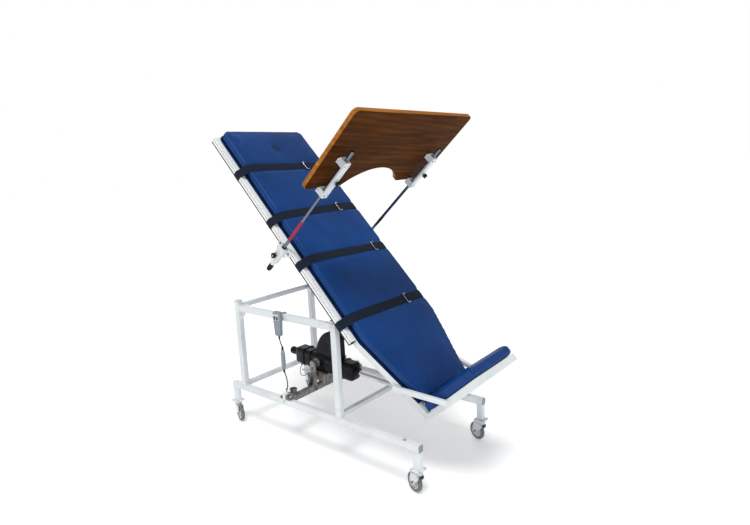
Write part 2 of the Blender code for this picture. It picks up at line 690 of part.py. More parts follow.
def make_drive(bed):
    radius = (TRUNNION - PIVOT).length
    pin = Vector((math.sqrt(radius**2 - ROD_PIN_DROP**2), 0, -ROD_PIN_DROP))
    make_rod_mount(bed, pin)
    pin_world = PIVOT + Matrix.Rotation(REST_TILT, 3, "Y") @ pin
    reach = pin_world - TRUNNION
    lean = -math.atan2(reach.z, reach.x)
    make_drive_beam()
    drive = axis_frame("drive_axis", TRUNNION, tilt=lean)
    housing = box("drive_housing", *HOUSING, drive, edge=0.016, segments=3)
    tail = rod("housing_tail", (HOUSING_TAIL, 0, 0), (-0.15, 0, 0), 0.024, drive)
    nose = rod("housing_nose", (0.25, 0, 0), (HOUSING_NOSE, 0, 0), 0.030, drive)
    stubs = [
        rod(f"trunnion_{name}", (0, sign * 0.035, 0), (0, sign * (YOKE_Y[1] + 0.004), 0), TRUNNION_R, drive)
        for name, sign in (("a", -1), ("b", 1))
    ]
    bore = rod("rod_bore", (HOUSING_TAIL + 0.006, 0, 0), (HOUSING_NOSE + 0.02, 0, 0), ROD_BORE, drive)
    as_part(cut(join(housing, tail, nose, *stubs), bore), PLASTIC)
    fin = arc((0, 0), 1.0, 180, 90, 6)
    fin = [(0.120 + 0.140 * x, HOUSING[1][2] + GAP + 0.160 * y) for x, y in fin]
    fin += [(0.148, HOUSING[1][2] + GAP + 0.152), (0.160, HOUSING[1][2] + GAP)]
    dome = flat("motor_cover", [fin], 0.080, plane((0, 0, 0), (1, 0, 0), (0, 0, 1)), drive)
    as_part(round_edges(dome, 0.012, 2), PLASTIC)
    low = HOUSING[0][2] - GAP
    gearbox = box("drive_gearbox", (-0.050, -0.070, low - 0.054), (0.072, 0.060, low), drive, edge=0.008)
    worm = rod("worm_case", (0.010, -0.076, low - 0.027), (0.010, 0.074, low - 0.027), 0.024, drive)
    as_part(join(gearbox, worm), CAST)
    cord("motor_lead", MOTOR_LEAD, LEAD_R, 20, PLASTIC, parent=drive)
    rod_axis = axis_frame("rod_axis", pin_world, tilt=lean)
    push_rod = rod("push_rod", (-ROD_LENGTH, 0, 0), (-0.012, 0, 0), ROD_R, rod_axis)
    eye = rod("rod_eye", (0, -0.0165, 0), (0, 0.0165, 0), 0.024, rod_axis)
    hole = rod("rod_eye_hole", (0, -0.03, 0), (0, 0.03, 0), PIVOT_R + BORE_CLEARANCE, rod_axis)
    as_part(cut(join(push_rod, eye), hole), STEEL)


def make_drive_beam():
    x = TRUNNION.x
    half = TUBE / 2
    reach = BASE_Y - half - 0.0005
    bar = box("drive_beam", (x - half, -reach, BEAM_Z[0]), (x + half, reach, BEAM_Z[1]), edge=0.003)
    for side, sign in SIDES:
        span = sorted((sign * (BASE_Y + half - 0.001), sign * (BASE_Y - half - 0.025)))
        foot = box(f"beam_foot_{side}", (x - 0.040, span[0], RAIL_Z + half + GAP),
                   (x + 0.040, span[1], RAIL_Z + half + 0.028), edge=0.003)
        span = sorted((sign * YOKE_Y[0], sign * YOKE_Y[1]))
        arm = box(f"yoke_arm_{side}", (x - 0.024, span[0], BEAM_Z[0] + 0.004),
                  (x + 0.024, span[1], TRUNNION.z + 0.022), edge=0.002)
        join(bar, foot, arm)
    gland = rod("cord_gland", (x + 0.002, -0.3125, RAIL_Z + half + 0.020), (x + 0.002, -0.3125, 0.298), 0.009)
    hole = rod("trunnion_hole", (x, -0.12, TRUNNION.z), (x, 0.12, TRUNNION.z), TRUNNION_R + BORE_CLEARANCE)
    as_part(cut(join(bar, gland), hole), CAST)


def make_handset():
    handset = axis_frame("handset_axis", (HANDSET_X, 0, 0))
    rail_top = TOP_RAIL_Z + TUBE / 2
    inner = -(BASE_Y - TUBE / 2)
    shell = box("handset", *HANDSET, handset, edge=0.006)
    hook = box("handset_hook", (-0.012, HANDSET[1][1] - 0.006, rail_top + 0.0005),
               (0.012, inner + 0.0045, rail_top + 0.0045), handset)
    lip = box("handset_lip", (-0.0115, inner + 0.0006, rail_top - 0.020),
              (0.0115, inner + 0.0044, rail_top + 0.004), handset)
    face = HANDSET[0][1]
    pockets = []
    for name, sign in (("up", -1), ("down", 1)):
        x = sign * BUTTON_X
        key_axis = axis_frame(f"button_axis_{name}", (x, face, BUTTON_Z), parent=handset)
        key = arc((0, 0.004), 0.0065, 0, 180, 6) + arc((0, -0.004), 0.0065, 180, 360, 6)
        bore = arc((0, 0.004), 0.0069, 0, 180, 6) + arc((0, -0.004), 0.0069, 180, 360, 6)
        upright = plane((0, 0.0005, 0), (1, 0, 0), (0, 0, 1))
        as_part(flat(f"button_{name}", [key], 0.006, upright, key_axis), PLASTIC)
        pockets.append(flat(f"button_pocket_{name}", [bore], 0.012, upright, key_axis))
    as_part(cut(join(shell, hook, lip), *pockets), GREY)
    start, length, radius = CONNECTOR
    plug = rod("cord_connector", start, start + Vector((0, 0, length)), radius, edge=0.004)
    hole = rod("connector_bore", start - Vector((0, 0, 0.01)), start + Vector((0, 0, length + 0.01)),
               CORD_R + BORE_CLEARANCE, sides=12)
    as_part(cut(plug, hole), GREY)
    cord("handset_cord", HANDSET_CORD, CORD_R, 32, PLASTIC, offset=(FOOT_X, 0, 0))


def make_table():
    make_base_frame()
    make_casters()
    bed = axis_frame("bed_tilt_axis", PIVOT, tilt=REST_TILT)
    make_bed(bed)
    make_foot_board(bed)
    make_straps(bed)
    make_posts(bed)
    make_tabletop(bed)
    make_drive(bed)
    make_handset()


make_table()
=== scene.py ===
"""The looks of the motorised tilt table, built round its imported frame.

Metres, in the frame's own space: +X towards the feet, +Y to the left, +Z up. Pieces of the bed are drawn in
BED, with its origin in the pivot, x towards the feet, y to the left and z out of the bed. Pieces of the
drive are drawn in DRIVE, with its origin in the trunnion and x along the push rod.
"""

import json
import math
import random

import bmesh
import bpy
from mathutils import Matrix, Vector, geometry


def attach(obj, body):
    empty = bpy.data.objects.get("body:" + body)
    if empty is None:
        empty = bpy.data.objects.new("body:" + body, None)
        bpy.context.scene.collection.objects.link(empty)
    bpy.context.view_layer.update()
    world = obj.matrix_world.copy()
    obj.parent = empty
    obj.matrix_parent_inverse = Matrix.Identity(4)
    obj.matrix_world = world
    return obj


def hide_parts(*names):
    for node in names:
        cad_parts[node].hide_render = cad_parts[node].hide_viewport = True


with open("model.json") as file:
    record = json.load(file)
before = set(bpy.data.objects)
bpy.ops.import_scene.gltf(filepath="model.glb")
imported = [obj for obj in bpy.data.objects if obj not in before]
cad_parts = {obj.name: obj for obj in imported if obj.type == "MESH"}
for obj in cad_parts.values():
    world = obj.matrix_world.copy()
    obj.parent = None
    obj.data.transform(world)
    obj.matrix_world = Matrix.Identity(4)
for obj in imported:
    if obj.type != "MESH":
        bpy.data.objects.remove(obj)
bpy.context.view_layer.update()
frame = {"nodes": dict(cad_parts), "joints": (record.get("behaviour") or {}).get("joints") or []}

SIDES = (("right", -1), ("left", 1))
ENDS = (("head", -1), ("foot", 1))
JOINTS = {joint["name"]: joint for joint in frame["joints"]}
HERE = Matrix.Identity(4)
X, Y, Z = (Vector(row) for row in Matrix.Identity(3))
TUBE = 0.036
TUBE_ROUND = 0.0045
ON_AXIS = 1e-6
RANDOM = random.Random(7)


def joint_at(name):
    return Vector(JOINTS[name]["pos_m"])


def joint_axis(name):
    return Vector(JOINTS[name]["axis"]).normalized()


PIVOT = joint_at("bed_tilt")
NORMAL = joint_axis("posts_slide")
BED = Matrix.Translation(PIVOT) @ Matrix.Rotation(math.atan2(NORMAL.x, NORMAL.z), 4, "Y")
TRUNNION = joint_at("drive_swing")
ROD_PIN = joint_at("rod_swing")
REACH = ROD_PIN - TRUNNION
DRIVE = Matrix.Translation(TRUNNION) @ Matrix.Rotation(-math.atan2(REACH.z, REACH.x), 4, "Y")
BED_X = BED.to_3x3() @ X
DRIVE_X = DRIVE.to_3x3() @ X
DRIVE_DOWN = DRIVE.to_3x3() @ -Z


def box_of(node, space=HERE):
    """Lowest corner, highest corner and middle of a CAD node, measured in a space."""
    back = space.inverted()
    points = [back @ vertex.co for vertex in frame["nodes"][node].data.vertices]
    low = Vector([min(point[i] for point in points) for i in range(3)])
    high = Vector([max(point[i] for point in points) for i in range(3)])
    return low, high, (low + high) / 2


# ---------------------------------------------------------------- camera

CAMERA_FROM_PIVOT = Vector((1.829, -2.276, 0.792))
CAMERA_YAW = math.radians(42.87)
CAMERA_PITCH = math.radians(9.10)
CAMERA_ROLL = math.radians(3.55)
CAMERA_LENS = 25.98
CAMERA_SHIFT = (0.0588, -0.0098)


def make_camera():
    data = bpy.data.cameras.new("camera")
    data.sensor_width = 36.0
    data.lens = CAMERA_LENS
    data.shift_x, data.shift_y = CAMERA_SHIFT
    camera = bpy.data.objects.new("camera", data)
    bpy.context.scene.collection.objects.link(camera)
    camera.matrix_world = (
        Matrix.Translation(PIVOT + CAMERA_FROM_PIVOT)
        @ Matrix.Rotation(CAMERA_YAW, 4, "Z")
        @ Matrix.Rotation(math.pi / 2 - CAMERA_PITCH, 4, "X")
        @ Matrix.Rotation(-CAMERA_ROLL, 4, "Z")
    )
    bpy.context.scene.camera = camera


make_camera()

# ---------------------------------------------------------------- materials


class Paint:
    """Builds one node material: a Principled shader fed by procedural textures in object space."""

    def __init__(self, name, color, roughness, metallic=0.0):
        self.material = bpy.data.materials.new(name)
        self.material.use_nodes = True
        self.tree = self.material.node_tree
        self.shader = self.tree.nodes["Principled BSDF"]
        self.set(Base_Color=(*color, 1.0), Roughness=roughness, Metallic=metallic)
        self.place = self.tree.nodes.new("ShaderNodeTexCoord").outputs["Object"]
        self.height = None

    def set(self, **values):
        """Sets constants on the shader's own sockets."""
        for key, value in values.items():
            self.shader.inputs[key.replace("_", " ")].default_value = value
        return self

    def feed(self, socket, value):
        """Links a socket to an output, or gives it a constant."""
        if isinstance(value, bpy.types.NodeSocket):
            self.tree.links.new(value, socket)
        else:
            socket.default_value = value

    def node(self, kind, **inputs):
        made = self.tree.nodes.new("ShaderNode" + kind)
        for key, value in inputs.items():
            self.feed(made.inputs[key.replace("_", " ")], value)
        return made

    def mapping(self, scale, turn=(0, 0, 0)):
        return self.node("Mapping", Vector=self.place, Scale=scale, Rotation=turn).outputs["Vector"]

    def noise(self, scale, detail=4.0, roughness=0.55, vector=None, distortion=0.0):
        made = self.node("TexNoise", Vector=vector or self.place, Scale=scale, Detail=detail,
                         Roughness=roughness, Distortion=distortion)
        return made.outputs["Fac"]

    def cells(self, scale, feature="F1"):
        made = self.node("TexVoronoi", Vector=self.place, Scale=scale)
        made.feature = feature
        return made.outputs["Distance"]

    def wave(self, vector, direction, **inputs):
        made = self.node("TexWave", Vector=vector, **inputs)
        made.bands_direction = direction
        return made.outputs["Fac"]

    def ramp(self, factor, *stops):
        """Colours or grey levels, each at its position between 0 and 1."""
        made = self.node("ValToRGB", Fac=factor)
        while len(made.color_ramp.elements) < len(stops):
            made.color_ramp.elements.new(0.5)
        for element, (position, color) in zip(made.color_ramp.elements, stops):
            element.position = position
            element.color = (*(color if isinstance(color, tuple) else (color,) * 3), 1.0)
        return made.outputs["Color"]

    def map(self, factor, low, high, to_low, to_high):
        made = self.node("MapRange", Value=factor, From_Min=low, From_Max=high, To_Min=to_low, To_Max=to_high)
        return made.outputs["Result"]

    def mix(self, factor, a, b):
        made = self.tree.nodes.new("ShaderNodeMix")
        made.data_type = "RGBA"
        for socket, value in zip((made.inputs[0], made.inputs[6], made.inputs[7]), (factor, a, b)):
            self.feed(socket, (*value, 1.0) if isinstance(value, tuple) else value)
        return made.outputs[2]

    def color(self, output):
        self.tree.links.new(output, self.shader.inputs["Base Color"])

    def rough(self, factor, low, high):
        self.tree.links.new(self.map(factor, 0.25, 0.75, low, high), self.shader.inputs["Roughness"])

    def bump(self, height, strength, distance):
        """Adds one layer of bump on top of those before it."""
        below = {} if self.height is None else {"Normal": self.height}
        made = self.node("Bump", Height=height, Strength=strength, Distance=distance, **below)
        self.height = made.outputs["Normal"]
        self.tree.links.new(self.height, self.shader.inputs["Normal"])


def white_paint():
    """Sprayed white enamel over tube: a little uneven, with grey scuffs and faint rust-coloured stains."""
    p = Paint("white_paint", (0.74, 0.78, 0.80), 0.34)
    cloud = p.noise(5.0, 5.0, 0.6)
    base = p.ramp(cloud, (0.30, (0.66, 0.71, 0.74)), (0.55, (0.76, 0.80, 0.82)), (0.75, (0.82, 0.85, 0.86)))
    stain = p.ramp(p.noise(11.0, 8.0, 0.68), (0.60, 0.0), (0.74, 0.35))
    base = p.mix(stain, base, (0.50, 0.47, 0.42))
    scuff = p.ramp(p.noise(60.0, 6.0, 0.75, p.mapping((1.0, 1.0, 0.35))), (0.68, 0.0), (0.73, 0.6))
    p.color(p.mix(scuff, base, (0.30, 0.30, 0.31)))
    p.rough(p.noise(24.0, 5.0), 0.30, 0.50)
    p.bump(p.noise(420.0, 2.0), 0.10, 0.0004)
    p.bump(p.noise(38.0, 3.0), 0.06, 0.0012)
    return p.set(Coat_Weight=0.10, Coat_Roughness=0.2).material


def rail_paint_painted_light():
    """Bright satin paint on the bed's side ledges, lighter than the frame's white paint as painted light for
    their lit top faces, with rows of small dark specks along them.
    """
    p = Paint("rail_paint_painted_light", (0.80, 0.84, 0.85), 0.36)
    # Base lighter than the white paint's: painted light on the ledges' top faces.
    base = p.ramp(p.noise(7.0, 5.0, 0.6), (0.30, (0.82, 0.86, 0.88)), (0.60, (0.92, 0.94, 0.95)))
    specks = p.ramp(p.cells(72.0), (0.15, 0.9), (0.23, 0.0))
    patches = p.ramp(p.noise(9.0, 3.0, 0.5), (0.47, 0.0), (0.55, 1.0))
    p.color(p.mix(p.mix(patches, (0.0, 0.0, 0.0), specks), base, (0.12, 0.12, 0.13)))
    p.rough(p.noise(24.0, 5.0), 0.28, 0.48)
    p.bump(p.noise(420.0, 2.0), 0.10, 0.0004)
    return p.set(Coat_Weight=0.10, Coat_Roughness=0.2).material


def blue_vinyl():
    """Deep blue upholstery vinyl with a fine leather grain, slow waves where foam lies under it, and a darker
    patch at the head end, painted shade for the shallow hollow that the pad dips in there."""
    p = Paint("blue_vinyl", (0.015, 0.07, 0.30), 0.42)
    base = p.ramp(p.noise(3.0, 5.0, 0.6), (0.30, (0.001, 0.032, 0.150)), (0.55, (0.002, 0.045, 0.205)),
                  (0.78, (0.004, 0.062, 0.255)))
    rub = p.ramp(p.noise(17.0, 8.0, 0.7), (0.58, 0.0), (0.74, 0.22))
    base = p.mix(rub, base, (0.018, 0.084, 0.290))
    away = p.node("VectorMath", Vector=p.place)
    away.operation = "DISTANCE"
    away.inputs[1].default_value = BED @ Vector((*HEAD_HOLLOW, PAD_TOP))
    # A darker patch painted round the head-end hollow: painted shade for the dip in the pad there.
    print_and_shade = p.ramp(p.mix(0.10, away.outputs["Value"], p.noise(60.0)), (0.068, 0.85), (0.082, 0.0))
    p.color(p.mix(print_and_shade, base, (0.004, 0.016, 0.062)))
    p.rough(p.noise(30.0, 5.0), 0.30, 0.42)
    p.bump(p.ramp(p.cells(520.0, "DISTANCE_TO_EDGE"), (0.0, 0.0), (0.12, 1.0)), 0.22, 0.0004)
    p.bump(p.noise(170.0, 4.0, 0.6), 0.12, 0.0008)
    p.bump(p.noise(9.0, 3.0, 0.5, distortion=0.6), 0.35, 0.004)
    return p.set(Specular_IOR_Level=0.22).material


def webbing():
    """Woven nylon: ribs across the strap and rows of yarn along it, from the strap's own UV map."""
    tint, light, dusty = (0.005, 0.010, 0.022), (0.023, 0.036, 0.0672), (0.022, 0.028, 0.040)
    p = Paint("black_webbing", tint, 0.78)
    place = p.tree.nodes.new("ShaderNodeUVMap").outputs["UV"]
    weave = p.node("Math")
    weave.operation = "MULTIPLY"
    p.feed(weave.inputs[0], p.wave(place, "Y", Scale=150.0, Distortion=0.6, Detail=1.0))
    p.feed(weave.inputs[1], p.wave(place, "X", Scale=110.0, Distortion=0.4, Detail=1.0))
    dust = p.noise(40.0, 6.0, 0.7)
    base = p.mix(p.ramp(weave.outputs[0], (0.1, 0.0), (0.9, 0.6)), tint, light)
    p.color(p.mix(p.ramp(dust, (0.5, 0.0), (0.8, 0.35)), base, dusty))
    p.rough(dust, 0.66, 0.88)
    p.bump(weave.outputs[0], 0.7, 0.0007)
    return p.set(Specular_IOR_Level=0.15, Sheen_Weight=0.04, Sheen_Roughness=0.4).material


def steel(name, color, low, high, spread=(1, 1, 1)):
    """Plated or drawn steel with fine streaks and a few dull spots."""
    p = Paint(name, color, low, 1.0)
    streaks = p.noise(240.0, 3.0, 0.6, p.mapping(spread))
    spots = p.noise(34.0, 6.0, 0.65)
    p.color(p.mix(p.ramp(spots, (0.50, 0.0), (0.78, 0.55)), color, tuple(c * 0.62 for c in color)))
    p.rough(p.mix(0.5, streaks, spots), low, high)
    p.bump(streaks, 0.08, 0.0002)
    return p.material


def cast_metal():
    """Rough cast and oiled metal, grey with brown patches."""
    p = Paint("cast_metal", (0.36, 0.33, 0.31), 0.5, 0.45)
    patches = p.noise(26.0, 7.0, 0.66)
    p.color(p.ramp(patches, (0.36, (0.36, 0.36, 0.35)), (0.54, (0.19, 0.18, 0.17)),
                   (0.70, (0.10, 0.070, 0.050))))
    p.rough(patches, 0.38, 0.66)
    p.bump(p.noise(260.0, 4.0, 0.7), 0.35, 0.0006)
    p.bump(p.noise(40.0, 4.0, 0.6), 0.2, 0.0010)
    return p.material


def wood(name, light, middle, dark, gloss):
    """Varnished board: long grain across the bed, with streaks, pores and a darker figure."""
    p = Paint(name, middle, gloss)
    figure = p.noise(34.0, 6.0, 0.62, p.mapping((1.0, 0.055, 1.0)), 0.35)
    wave = p.wave(p.mapping((1.0, 0.10, 1.0), (0.0, 0.12, 0.03)), "DIAGONAL", Scale=13.0, Distortion=7.0,
                  Detail=4.0, Detail_Scale=1.4)
    fine = p.noise(240.0, 4.0, 0.6, p.mapping((1.0, 0.02, 1.0)))
    base = p.ramp(figure, (0.30, dark), (0.50, middle), (0.72, light))
    base = p.mix(p.map(wave, 0.0, 1.0, 0.0, 0.45), base, dark)
    p.color(p.mix(p.ramp(fine, (0.52, 0.0), (0.72, 0.5)), base, tuple(c * 0.5 for c in dark)))
    p.rough(p.noise(20.0, 4.0), gloss - 0.06, gloss + 0.10)
    p.bump(fine, 0.12, 0.0004)
    p.bump(figure, 0.05, 0.0008)
    return p.set(Specular_IOR_Level=0.015).material


def plastic(name, color, low, high, grain=0.15, speck=0.0):
    """Moulded plastic with a fine spark-eroded texture."""
    p = Paint(name, color, low)
    cloud = p.noise(14.0, 5.0, 0.6)
    lighter = tuple(min(1.0, c * 1.35 + 0.006) for c in color)
    base = p.mix(p.ramp(cloud, (0.35, 0.0), (0.75, 0.7)), color, lighter)
    if speck:
        base = p.mix(p.ramp(p.noise(90.0, 6.0, 0.7), (0.62, 0.0), (0.74, speck)), base, (0.30, 0.27, 0.23))
    p.color(base)
    p.rough(cloud, low, high)
    p.bump(p.noise(900.0, 2.0, 0.6), grain, 0.0003)
    return p.set(Specular_IOR_Level=0.16).material


# Centre of the hollow at the pad's head end: the pad dips there, and its colour is darkened there as painted
# shade.
HEAD_HOLLOW = Vector((-1.148, -0.006))
PAD_TOP = box_of("bed_pad", BED)[1].z
WHITE = white_paint()
BLUE = blue_vinyl()
WEBBING = webbing()
STEEL = steel("bright_steel", (0.66, 0.67, 0.69), 0.20, 0.40, (1, 1, 6))
POST_STEEL = steel("post_steel", (0.17, 0.21, 0.28), 0.14, 0.30, (8, 8, 1))
DARK_STEEL = steel("dark_steel", (0.30, 0.30, 0.31), 0.35, 0.55)
BRONZE = steel("bronze_ring", (0.30, 0.17, 0.10), 0.30, 0.50)
CAST = cast_metal()
RAIL_PAINT_PAINTED_LIGHT = rail_paint_painted_light()
WOOD = wood("board_face", (0.130, 0.045, 0.007), (0.084, 0.027, 0.004), (0.038, 0.011, 0.002), 0.44)
WOOD_EDGE = wood("board_edge", (0.56, 0.235, 0.050), (0.44, 0.165, 0.030), (0.28, 0.095, 0.018), 0.34)
# The bed board takes a dark copy of the pad's blue, painted shade that blends it into the pad's shaded side.
BOARD_PAINTED_SHADE = wood("bed_board_painted_shade", (0.009, 0.030, 0.100), (0.005, 0.020, 0.070), (0.003, 0.012, 0.042), 0.62)
# Dark trim: the ledges' end caps, and also the painted shade strips in each ledge's slot and under its face.
TRIM_AND_SHADE = plastic("dark_trim_and_painted_shade", (0.020, 0.024, 0.032), 0.5, 0.7)
PLASTIC = plastic("black_plastic", (0.005, 0.007, 0.010), 0.22, 0.40, speck=0.03)
KNOB = plastic("knob_plastic", (0.012, 0.012, 0.014), 0.32, 0.46)
RUBBER = plastic("rubber", (0.020, 0.020, 0.021), 0.66, 0.85, 0.3)
GREY = plastic("grey_plastic", (0.24, 0.275, 0.325), 0.34, 0.5)
HUB = plastic("hub_plastic", (0.62, 0.64, 0.65), 0.34, 0.5)
TYRE = plastic("grey_tyre", (0.150, 0.160, 0.165), 0.60, 0.80, 0.3, speck=0.25)
RED = plastic("red_sleeve", (0.30, 0.026, 0.050), 0.34, 0.52)
WIPER = plastic("rod_wiper", (0.085, 0.020, 0.016), 0.45, 0.60)

# ---------------------------------------------------------------- shapes


def add(obj, body, materials, node=None):
    """Puts a piece on its body, gives it its materials and hides the CAD node that it stands for."""
    if obj.name not in bpy.context.scene.collection.objects:
        bpy.context.scene.collection.objects.link(obj)
    materials = materials if isinstance(materials, tuple) else (materials,)
    for material in materials:
        obj.data.materials.append(material)
    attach(obj, body)
    # Blender numbers a name that the frame's own materials already have.
    if node:
        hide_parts(node)
    return obj


def as_object(name, shape, space=HERE, smooth=38):
    """A bmesh drawn in a space, as an object whose vertices are in the frame's space."""
    bmesh.ops.recalc_face_normals(shape, faces=shape.faces)
    mesh = bpy.data.meshes.new(name)
    shape.to_mesh(mesh)
    shape.free()
    mesh.transform(space)
    mesh.shade_smooth()
    mesh.set_sharp_from_angle(angle=math.radians(smooth))
    return bpy.data.objects.new(name, mesh)


def soften(obj, width, segments=3):
    """Rounds an object's edges and keeps its flats flat."""
    bevel = obj.modifiers.new("edges", "BEVEL")
    bevel.width = width
    bevel.segments = segments
    bevel.limit_method = "ANGLE"
    bevel.angle_limit = math.radians(38)
    obj.modifiers.new("normals", "WEIGHTED_NORMAL").keep_sharp = True
    return obj


def arc(centre, radius, start, end, steps):
    """Points of an arc; angles in degrees."""
    angles = [math.radians(start + (end - start) * i / steps) for i in range(steps + 1)]
    return [(centre[0] + radius * math.cos(a), centre[1] + radius * math.sin(a)) for a in angles]


def circle(radius, count):
    """Points round a circle about the origin."""
    return arc((0, 0), radius, 0, 360 * (count - 1) / count, count - 1)


def rounded(width, height, radius, steps=4):
    """Outline of a rectangle with round corners, about its centre."""
    a = width / 2 - radius
    b = height / 2 - radius
    corners = ((a, b), (-a, b), (-a, -b), (a, -b))
    return [p for i, corner in enumerate(corners) for p in arc(corner, radius, i * 90, i * 90 + 90, steps)]


def square(size):
    return rounded(size, size, TUBE_ROUND)


def loft(name, rows, space=HERE, smooth=38):
    """Skins closed outlines of equal length, each a list of points in the space."""
    shape = bmesh.new()
    rings = [[shape.verts.new(point) for point in row] for row in rows]
    for near, far in zip(rings, rings[1:]):
        for i in range(len(near)):
            j = (i + 1) % len(near)
            shape.faces.new((near[i], near[j], far[j], far[i]))
    shape.faces.new(rings[0][::-1])
    shape.faces.new(rings[-1])
    return as_object(name, shape, space, smooth)


def sweep(name, path, section, fixed, space=HERE):
    """A section carried along a flat path with mitred corners. The section's first coordinate runs along
    fixed, which is square to the path, and its second is square to both."""
    path = [Vector(point) for point in path]
    steps = [(b - a).normalized() for a, b in zip(path, path[1:])]
    rows = []
    for number, point in enumerate(path):
        before = steps[max(0, number - 1)]
        along = (before + steps[min(len(steps) - 1, number)]).normalized()
        across = fixed.cross(along) / max(0.2, along.dot(before))
        rows.append([point + fixed * a + across * b for a, b in section])
    return loft(name, rows, space)


def plate(name, outline, thickness, matrix, edge=0.0, segments=3, edge_slot=0):
    """A flat outline, extruded about its own plane, with round edges. Its sides take material edge_slot."""
    shape = bmesh.new()
    face = shape.faces.new([shape.verts.new((x, y, -thickness / 2)) for x, y in outline])
    made = bmesh.ops.extrude_face_region(shape, geom=[face])
    raised = [item for item in made["geom"] if isinstance(item, bmesh.types.BMVert)]
    bmesh.ops.translate(shape, verts=raised, vec=(0, 0, thickness))
    shape.normal_update()
    for face in shape.faces:
        face.material_index = edge_slot if abs(face.normal.z) < 0.5 else 0
    obj = as_object(name, shape, matrix)
    return soften(obj, edge, segments) if edge else obj


def block(name, a, b, space=HERE, edge=0.002, segments=3):
    """A box between two opposite corners, with round edges."""
    a, b = Vector(a), Vector(b)
    low = Vector([min(pair) for pair in zip(a, b)])
    high = Vector([max(pair) for pair in zip(a, b)])
    shape = bmesh.new()
    bmesh.ops.create_cube(shape, size=1.0, matrix=Matrix.Diagonal((*(high - low), 1.0)))
    bmesh.ops.translate(shape, verts=shape.verts, vec=(low + high) / 2)
    return soften(as_object(name, shape, space), edge, segments)


def ring(inner, outer, low, high, bevel=None, both=False):
    """Profile of a ring, or of a pin where inner is 0. A (width, depth) bevel is on its far edge or both."""
    if not bevel:
        return [(inner, low), (outer, low), (outer, high), (inner, high)]
    wide, deep = bevel
    near = [(outer - wide, low), (outer, low + deep)] if both else [(outer, low)]
    return [(inner, low), *near, (outer, high - deep), (outer - wide, high), (inner, high)]


def lathe(name, profile, space, steps=48, smooth=38, closed=True):
    """A profile of (radius, height) turned about the space's Z axis. One that starts off the axis is a
    closed outline, unless closed says that it is open."""
    shape = bmesh.new()
    rings = []
    for radius, height in profile:
        turns = circle(radius, steps) if radius > ON_AXIS else [(0, 0)]
        rings.append([shape.verts.new((*place, height)) for place in turns])
    back = rings[:1] if closed and profile[0][0] > ON_AXIS else []
    for near, far in zip(rings, rings[1:] + back):
        for i in range(steps):
            corners = ((near, i), (near, i + 1), (far, i + 1), (far, i))
            corners = list(dict.fromkeys(row[number % len(row)] for row, number in corners))
            if len(corners) > 2:
                shape.faces.new(corners)
    return as_object(name, shape, space, smooth)


def plane(origin, x_axis, y_axis):
    """The matrix of a plane given by its origin and its two axes."""
    x_axis = x_axis.normalized()
    y_axis = y_axis.normalized()
    return Matrix.Translation(origin) @ Matrix((x_axis, y_axis, x_axis.cross(y_axis))).transposed().to_4x4()


def standing(y, x=0.0):
    """A plane along X and Z, y to the left."""
    return plane((x, y, 0), X, Z)


def facing(origin, axis, roll=0.0):
    """A space whose Z axis points along axis."""
    turn = Z.rotation_difference(axis).to_matrix().to_4x4()
    return Matrix.Translation(origin) @ turn @ Matrix.Rotation(roll, 4, "Z")


def wire(name, lines, radius, cyclic=False, lumpy=False):
    """Round wires through points. A lumpy one is thick and thin along its way, as a weld laid by hand."""
    curve = bpy.data.curves.new(name, "CURVE")
    curve.dimensions = "3D"
    curve.bevel_depth = radius
    curve.bevel_resolution = 2 if lumpy else 4
    curve.use_fill_caps = True
    for line in lines:
        spline = curve.splines.new("POLY")
        spline.points.add(len(line) - 1)
        for point, place in zip(spline.points, line):
            point.co = (*place, 1)
            if lumpy:
                point.radius = RANDOM.uniform(0.75, 1.2)
        spline.use_cyclic_u = cyclic
        spline.use_smooth = True
    return bpy.data.objects.new(name, curve)


def smooth_route(points, count):
    """Points at equal steps along a Catmull-Rom curve through the route's own points."""
    ends = [points[0] * 2 - points[1], *points, points[-1] * 2 - points[-2]]
    fine = []
    for a, b, c, d in zip(ends, ends[1:], ends[2:], ends[3:]):
        for t in (step / 8 for step in range(8)):
            fine.append((b * 2 + (c - a) * t + (a * 2 - b * 5 + c * 4 - d) * t**2
                         + (b * 3 - a - c * 3 + d) * t**3) / 2)
    fine.append(points[-1])
    reach = [0.0]
    for a, b in zip(fine, fine[1:]):
        reach.append(reach[-1] + (b - a).length)
    route = []
    index = 0
    for i in range(count):
        wanted = reach[-1] * i / (count - 1)
        while index < len(reach) - 2 and reach[index + 1] < wanted:
            index += 1
        part = (wanted - reach[index]) / (reach[index + 1] - reach[index])
        route.append(fine[index].lerp(fine[index + 1], min(1.0, part)))
    return route


def bolt(name, origin, axis, size, body, material=STEEL, washer=True):
    """A hexagon head on a washer, with a chamfered top. Its size is the width across flats."""
    space = facing(origin, axis, RANDOM.uniform(0, 1))
    start = 0.10 * size if washer else 0.0
    if washer:
        add(lathe(name + "_washer", ring(0, 0.825 * size, 0, start), space, 24), body, material)
    corner = size / 2 / math.cos(math.pi / 6)
    levels = ((corner, 0.0), (corner, 0.492), (0.465 * size, 0.6))
    rows = [[(*p, start + level * size) for p in circle(radius, 6)] for radius, level in levels]
    head = loft(name, rows, space)
    add(soften(head, 0.03 * size, 2), body, material)


def beads(name, loops, body, radius=0.0022):
    """Weld beads that follow closed loops."""
    add(wire(name, loops, radius, cyclic=True, lumpy=True), body, WHITE)


def square_loop(centre, a, b, half, half_b=None, space=HERE):
    """A closed loop round a square joint; a and b are the joint plane's axes."""
    outline = rounded(2 * half, 2 * (half_b or half), 0.004, 3)
    loop = []
    for (x0, y0), (x1, y1) in zip(outline, outline[1:] + outline[:1]):
        count = max(1, round(math.hypot(x1 - x0, y1 - y0) / 0.005))
        for t in (i / count for i in range(count)):
            loop.append(space @ (Vector(centre) + a * (x0 + (x1 - x0) * t) + b * (y0 + (y1 - y0) * t)))
    return loop


